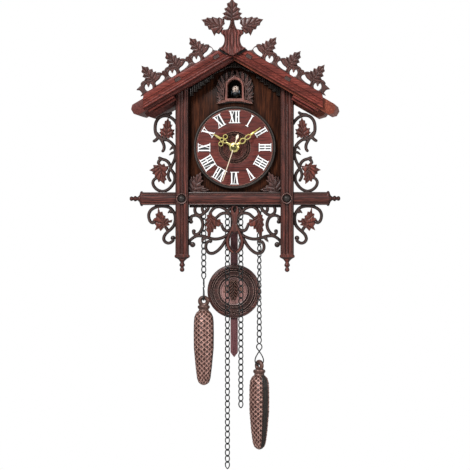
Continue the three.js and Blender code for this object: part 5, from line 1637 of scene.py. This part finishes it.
def cone_body(sides=168, step=0.36):
    """A long pine cone below its neck, with the neck at z = 0 and a plain seam on each side.

    Also the lip and seam marks of its points; the lip mark paints a highlight at each lip and shade under
    it.
    """
    drops = np.array([d for d, _ in CONE_PROFILE])
    radii = np.array([r for _, r in CONE_PROFILE])
    down = np.arange(0, drops[-1], step)
    angles = np.linspace(0, 2 * math.pi, sides, endpoint=False)
    radius = np.interp(down, drops, radii)
    angle, drop = np.meshgrid(angles, down)
    base = np.repeat(radius[:, None], sides, axis=1)
    seam = np.abs(((angle + math.pi / 2) % math.pi) - math.pi / 2)
    plain = np.clip((SEAM_HALF - seam) / 0.04, 0, 1)
    rib = 0.5 + 0.5 * np.cos(seam * 2 * math.pi / 0.28)
    fade = np.clip(drop / 3, 0, 1) * np.clip((drops[-1] - drop) / 3, 0, 1)
    shrink = np.clip(base / 10, 0.35, 1)
    height, lip = scales(angle, drop)
    lift = height * shrink * (1 - plain) + (0.3 + 0.6 * rib) * plain
    reach = base - 0.8 + lift * fade
    x, y = reach * np.cos(angle), CONE_FLAT * reach * np.sin(angle)
    points, faces = tube_of(np.stack([x, y, -drop], axis=2), False)
    marks = {"lip": np.zeros(len(points)), "seam": np.zeros(len(points))}
    # The lip mark drives the painted highlight at each lip and the painted shade under it.
    marks["lip"][:lip.size] = (lip * (1 - plain) + 0.5 * plain).ravel()
    marks["seam"][:lip.size] = (plain * (1 - 0.75 * rib ** 3)).ravel()
    return (points, faces), marks


def make_cones():
    """The two weights: a ring, a moulded neck and a long cone, each turned about its own axis."""
    ring_radius, tube = 4.6, 2.3
    for name, turn in CONE_TURNS.items():
        x, y, _ = middle(f"cone_{name}")
        centre = np.array([x, y, span(f"cone_{name}", 2)[1] - tube - ring_radius])
        circle = [(across, 0, up) for across, up in loop(0, 0, ring_radius, ring_radius, 40)]
        ring = wire(circle, tube + 0.2, True, 14)
        neck = lathe([
            (0, -4.4), (5.2, -4.4), (7.0, -5.4), (7.5, -6.8), (7.2, -8.2), (6.2, -9.2), (5.8, -10.2),
            (6.4, -11.4), (0, -11.8),
        ], axis="z", sides=40)
        body, marks = cone_body()
        body = moved(body, (0, 0, -10.2))
        top_shapes = [moved(shape, centre, turn, "z") for shape in (ring, neck)]
        piece(f"cone_ring_{name}", top_shapes, "ring_bronze", f"{name}_cone",
              [f"cone_{name}"])
        piece(f"cone_scales_{name}", [moved(body, centre, turn, "z")], "scale_bronze", f"{name}_cone",
              sharp=50, marks=marks)


# ---------------------------------------------------------------- bird
def ellipsoid(centre, radii, rows=18, sides=28, tweak=None):
    """A rounded body; tweak(points) may pull it into shape before it is placed."""
    profile = [(0, -1)] + [
        (math.cos(a), math.sin(a)) for a in np.linspace(-math.pi / 2, math.pi / 2, rows)[1:-1]
    ] + [(0, 1)]
    points, faces = lathe(profile, axis="z", sides=sides)
    points = points * radii
    if tweak:
        points = tweak(points)
    return points + centre, faces


def make_bird():
    """The cuckoo with its beak open, sized by its CAD node."""
    x, front = middle("bird")[0], span("bird", 1)[0]
    foot, flank_stain_and_shade = span("bird", 2)
    head_z = flank_stain_and_shade - 4.0
    taper = lambda points: points - np.outer(np.clip(points[:, 1], 0, None) ** 1.4, (0, 0, 0.09))
    body = ellipsoid((x, front + 11.2, foot + 5.0), (4.6, 8.2, 4.5), tweak=taper)
    breast = ellipsoid((x, front + 7.6, foot + 6.6), (3.6, 3.6, 4.2))
    head = ellipsoid((x, front + 6.2, head_z), (4.2, 4.0, 4.1))
    tail_end = [(-2.2, foot + 4.2), (2.2, foot + 4.2), (2.6, foot + 6.2), (-2.6, foot + 6.2)]
    tail = prism(tail_end, front + 24, front + 16, 0.4)
    piece("bird_body", [body], "bird_dark", "cuckoo", ["bird"])
    piece("bird_tail", [moved(tail, (x, 0, 0))], "bird_dark", "cuckoo")
    piece("bird_head", [head, breast], "bird_cream", "cuckoo")
    beaks = []
    for tilt, lift in ((-0.22, 1.0), (0.22, -1.0)):
        points, faces = lathe([(0, 3.9), (0.35, 3.3), (0.9, 1.6), (1.35, 0), (0, -0.4)], axis="y", sides=16)
        points = points * (1.1, -1, 0.75)
        half_beak = (points, [tuple(reversed(f)) for f in faces])
        place = (x, front + 3.6, head_z + 0.2 + 0.75 * lift)
        beaks.append(moved(half_beak, place, math.degrees(tilt), "x"))
    piece("bird_beak", beaks, "beak", "cuckoo")
    mouth = ellipsoid((x, front + 3.4, head_z + 0.1), (1.5, 1.0, 1.5))
    piece("bird_mouth", [mouth], "mouth_red", "cuckoo")
    eyes = [
        ellipsoid((x + side * 2.5, front + 4.1, head_z + 1.3), (0.65, 0.6, 0.65), 8, 12)
        for side, _ in SIDES
    ]
    piece("bird_eyes", eyes, "black_plastic", "cuckoo")
    feathers = []
    for side, _ in SIDES:
        for row, (reach, z) in enumerate(((0, 6.6), (2.2, 5.2), (4.4, 3.9))):
            place = (x + side * (4.7 + 0.25 * row), front + 9.6 + reach, foot + z)
            feathers.append(ellipsoid(place, (1.1, 5.4 - 0.4 * row, 2.3 - 0.3 * row), 12, 20))
    piece("bird_wings", feathers, "bird_blue", "cuckoo")


# ---------------------------------------------------------------- case and back
SCREW_RADIUS = 2.3
SCREW_PLACES = [(-56, -62), (56, -62), (-56, 2), (56, 2), (-56, 62), (56, 62), (0, 96)]


def screw_head(x, z, turn):
    """A countersunk head facing backwards, and a near-black bar across it: painted shade in its slot."""
    rim = SCREW_RADIUS
    head = lathe([(0, -0.6), (rim, -0.6), (rim, 0.06), (rim - 0.3, 0.22), (0, 0.28)], sides=28)
    slot = block((-rim * 0.85, rim * 0.85), (0.1, 0.32), (-0.22, 0.22), 0.04)
    return moved(head, (x, 0, z)), moved(slot, (x, 0, z), turn)


def make_case():
    boards = (
        ("front_board", 0.3, "board_wood", "case"), ("base_board", 0.4, "dark_wood", "case"),
        ("back_cover", 0.5, "plain_wood", "case"), ("service_door", 0.5, "plain_wood", "door"),
        ("side_panel_left", 0.4, "board_wood", "case"), ("side_panel_right", 0.4, "board_wood", "case"),
    )
    for node, ease, wood, body in boards:
        bevelled(node, ease, wood, body)
    screws = [screw_head(x, z, 35 + 41 * i) for i, (x, z) in enumerate(SCREW_PLACES)]
    piece("back_screws", [head for head, _ in screws], "brass")
    # The near-black bars paint the shade inside the screw slots.
    piece("back_screw_slot_shade", [slot for _, slot in screws], "painted_shadow")
    knob_z = middle("set_knob")[2]
    turns = np.linspace(0, 2 * math.pi, 96, endpoint=False)
    reach = [6.6 + 0.3 * math.cos(24 * a) for a in turns]
    rim = [(r * math.cos(a), knob_z + r * math.sin(a)) for r, a in zip(reach, turns)]
    piece("set_knob_rim", [prism(rim, -0.5, -4.9, 0.4)], "black_plastic", "knob")


add_camera()
add_studio()
paint_nodes()
make_case()
make_roof_boards()
make_fringe()
make_finial()
make_crossbar()
make_apron()
make_window()
make_chamber()
make_dial()
make_hands()
make_pendulum()
make_chains()
make_hooks()
make_cones()
make_bird()
for side, name in SIDES:
    make_bargeboard(side, name)
    make_eaves(side, name)
    make_crest(side, name)
    make_post(side, name)
    make_boss(name)
    make_vines(side, name)
    make_corner_leaves(side, name)
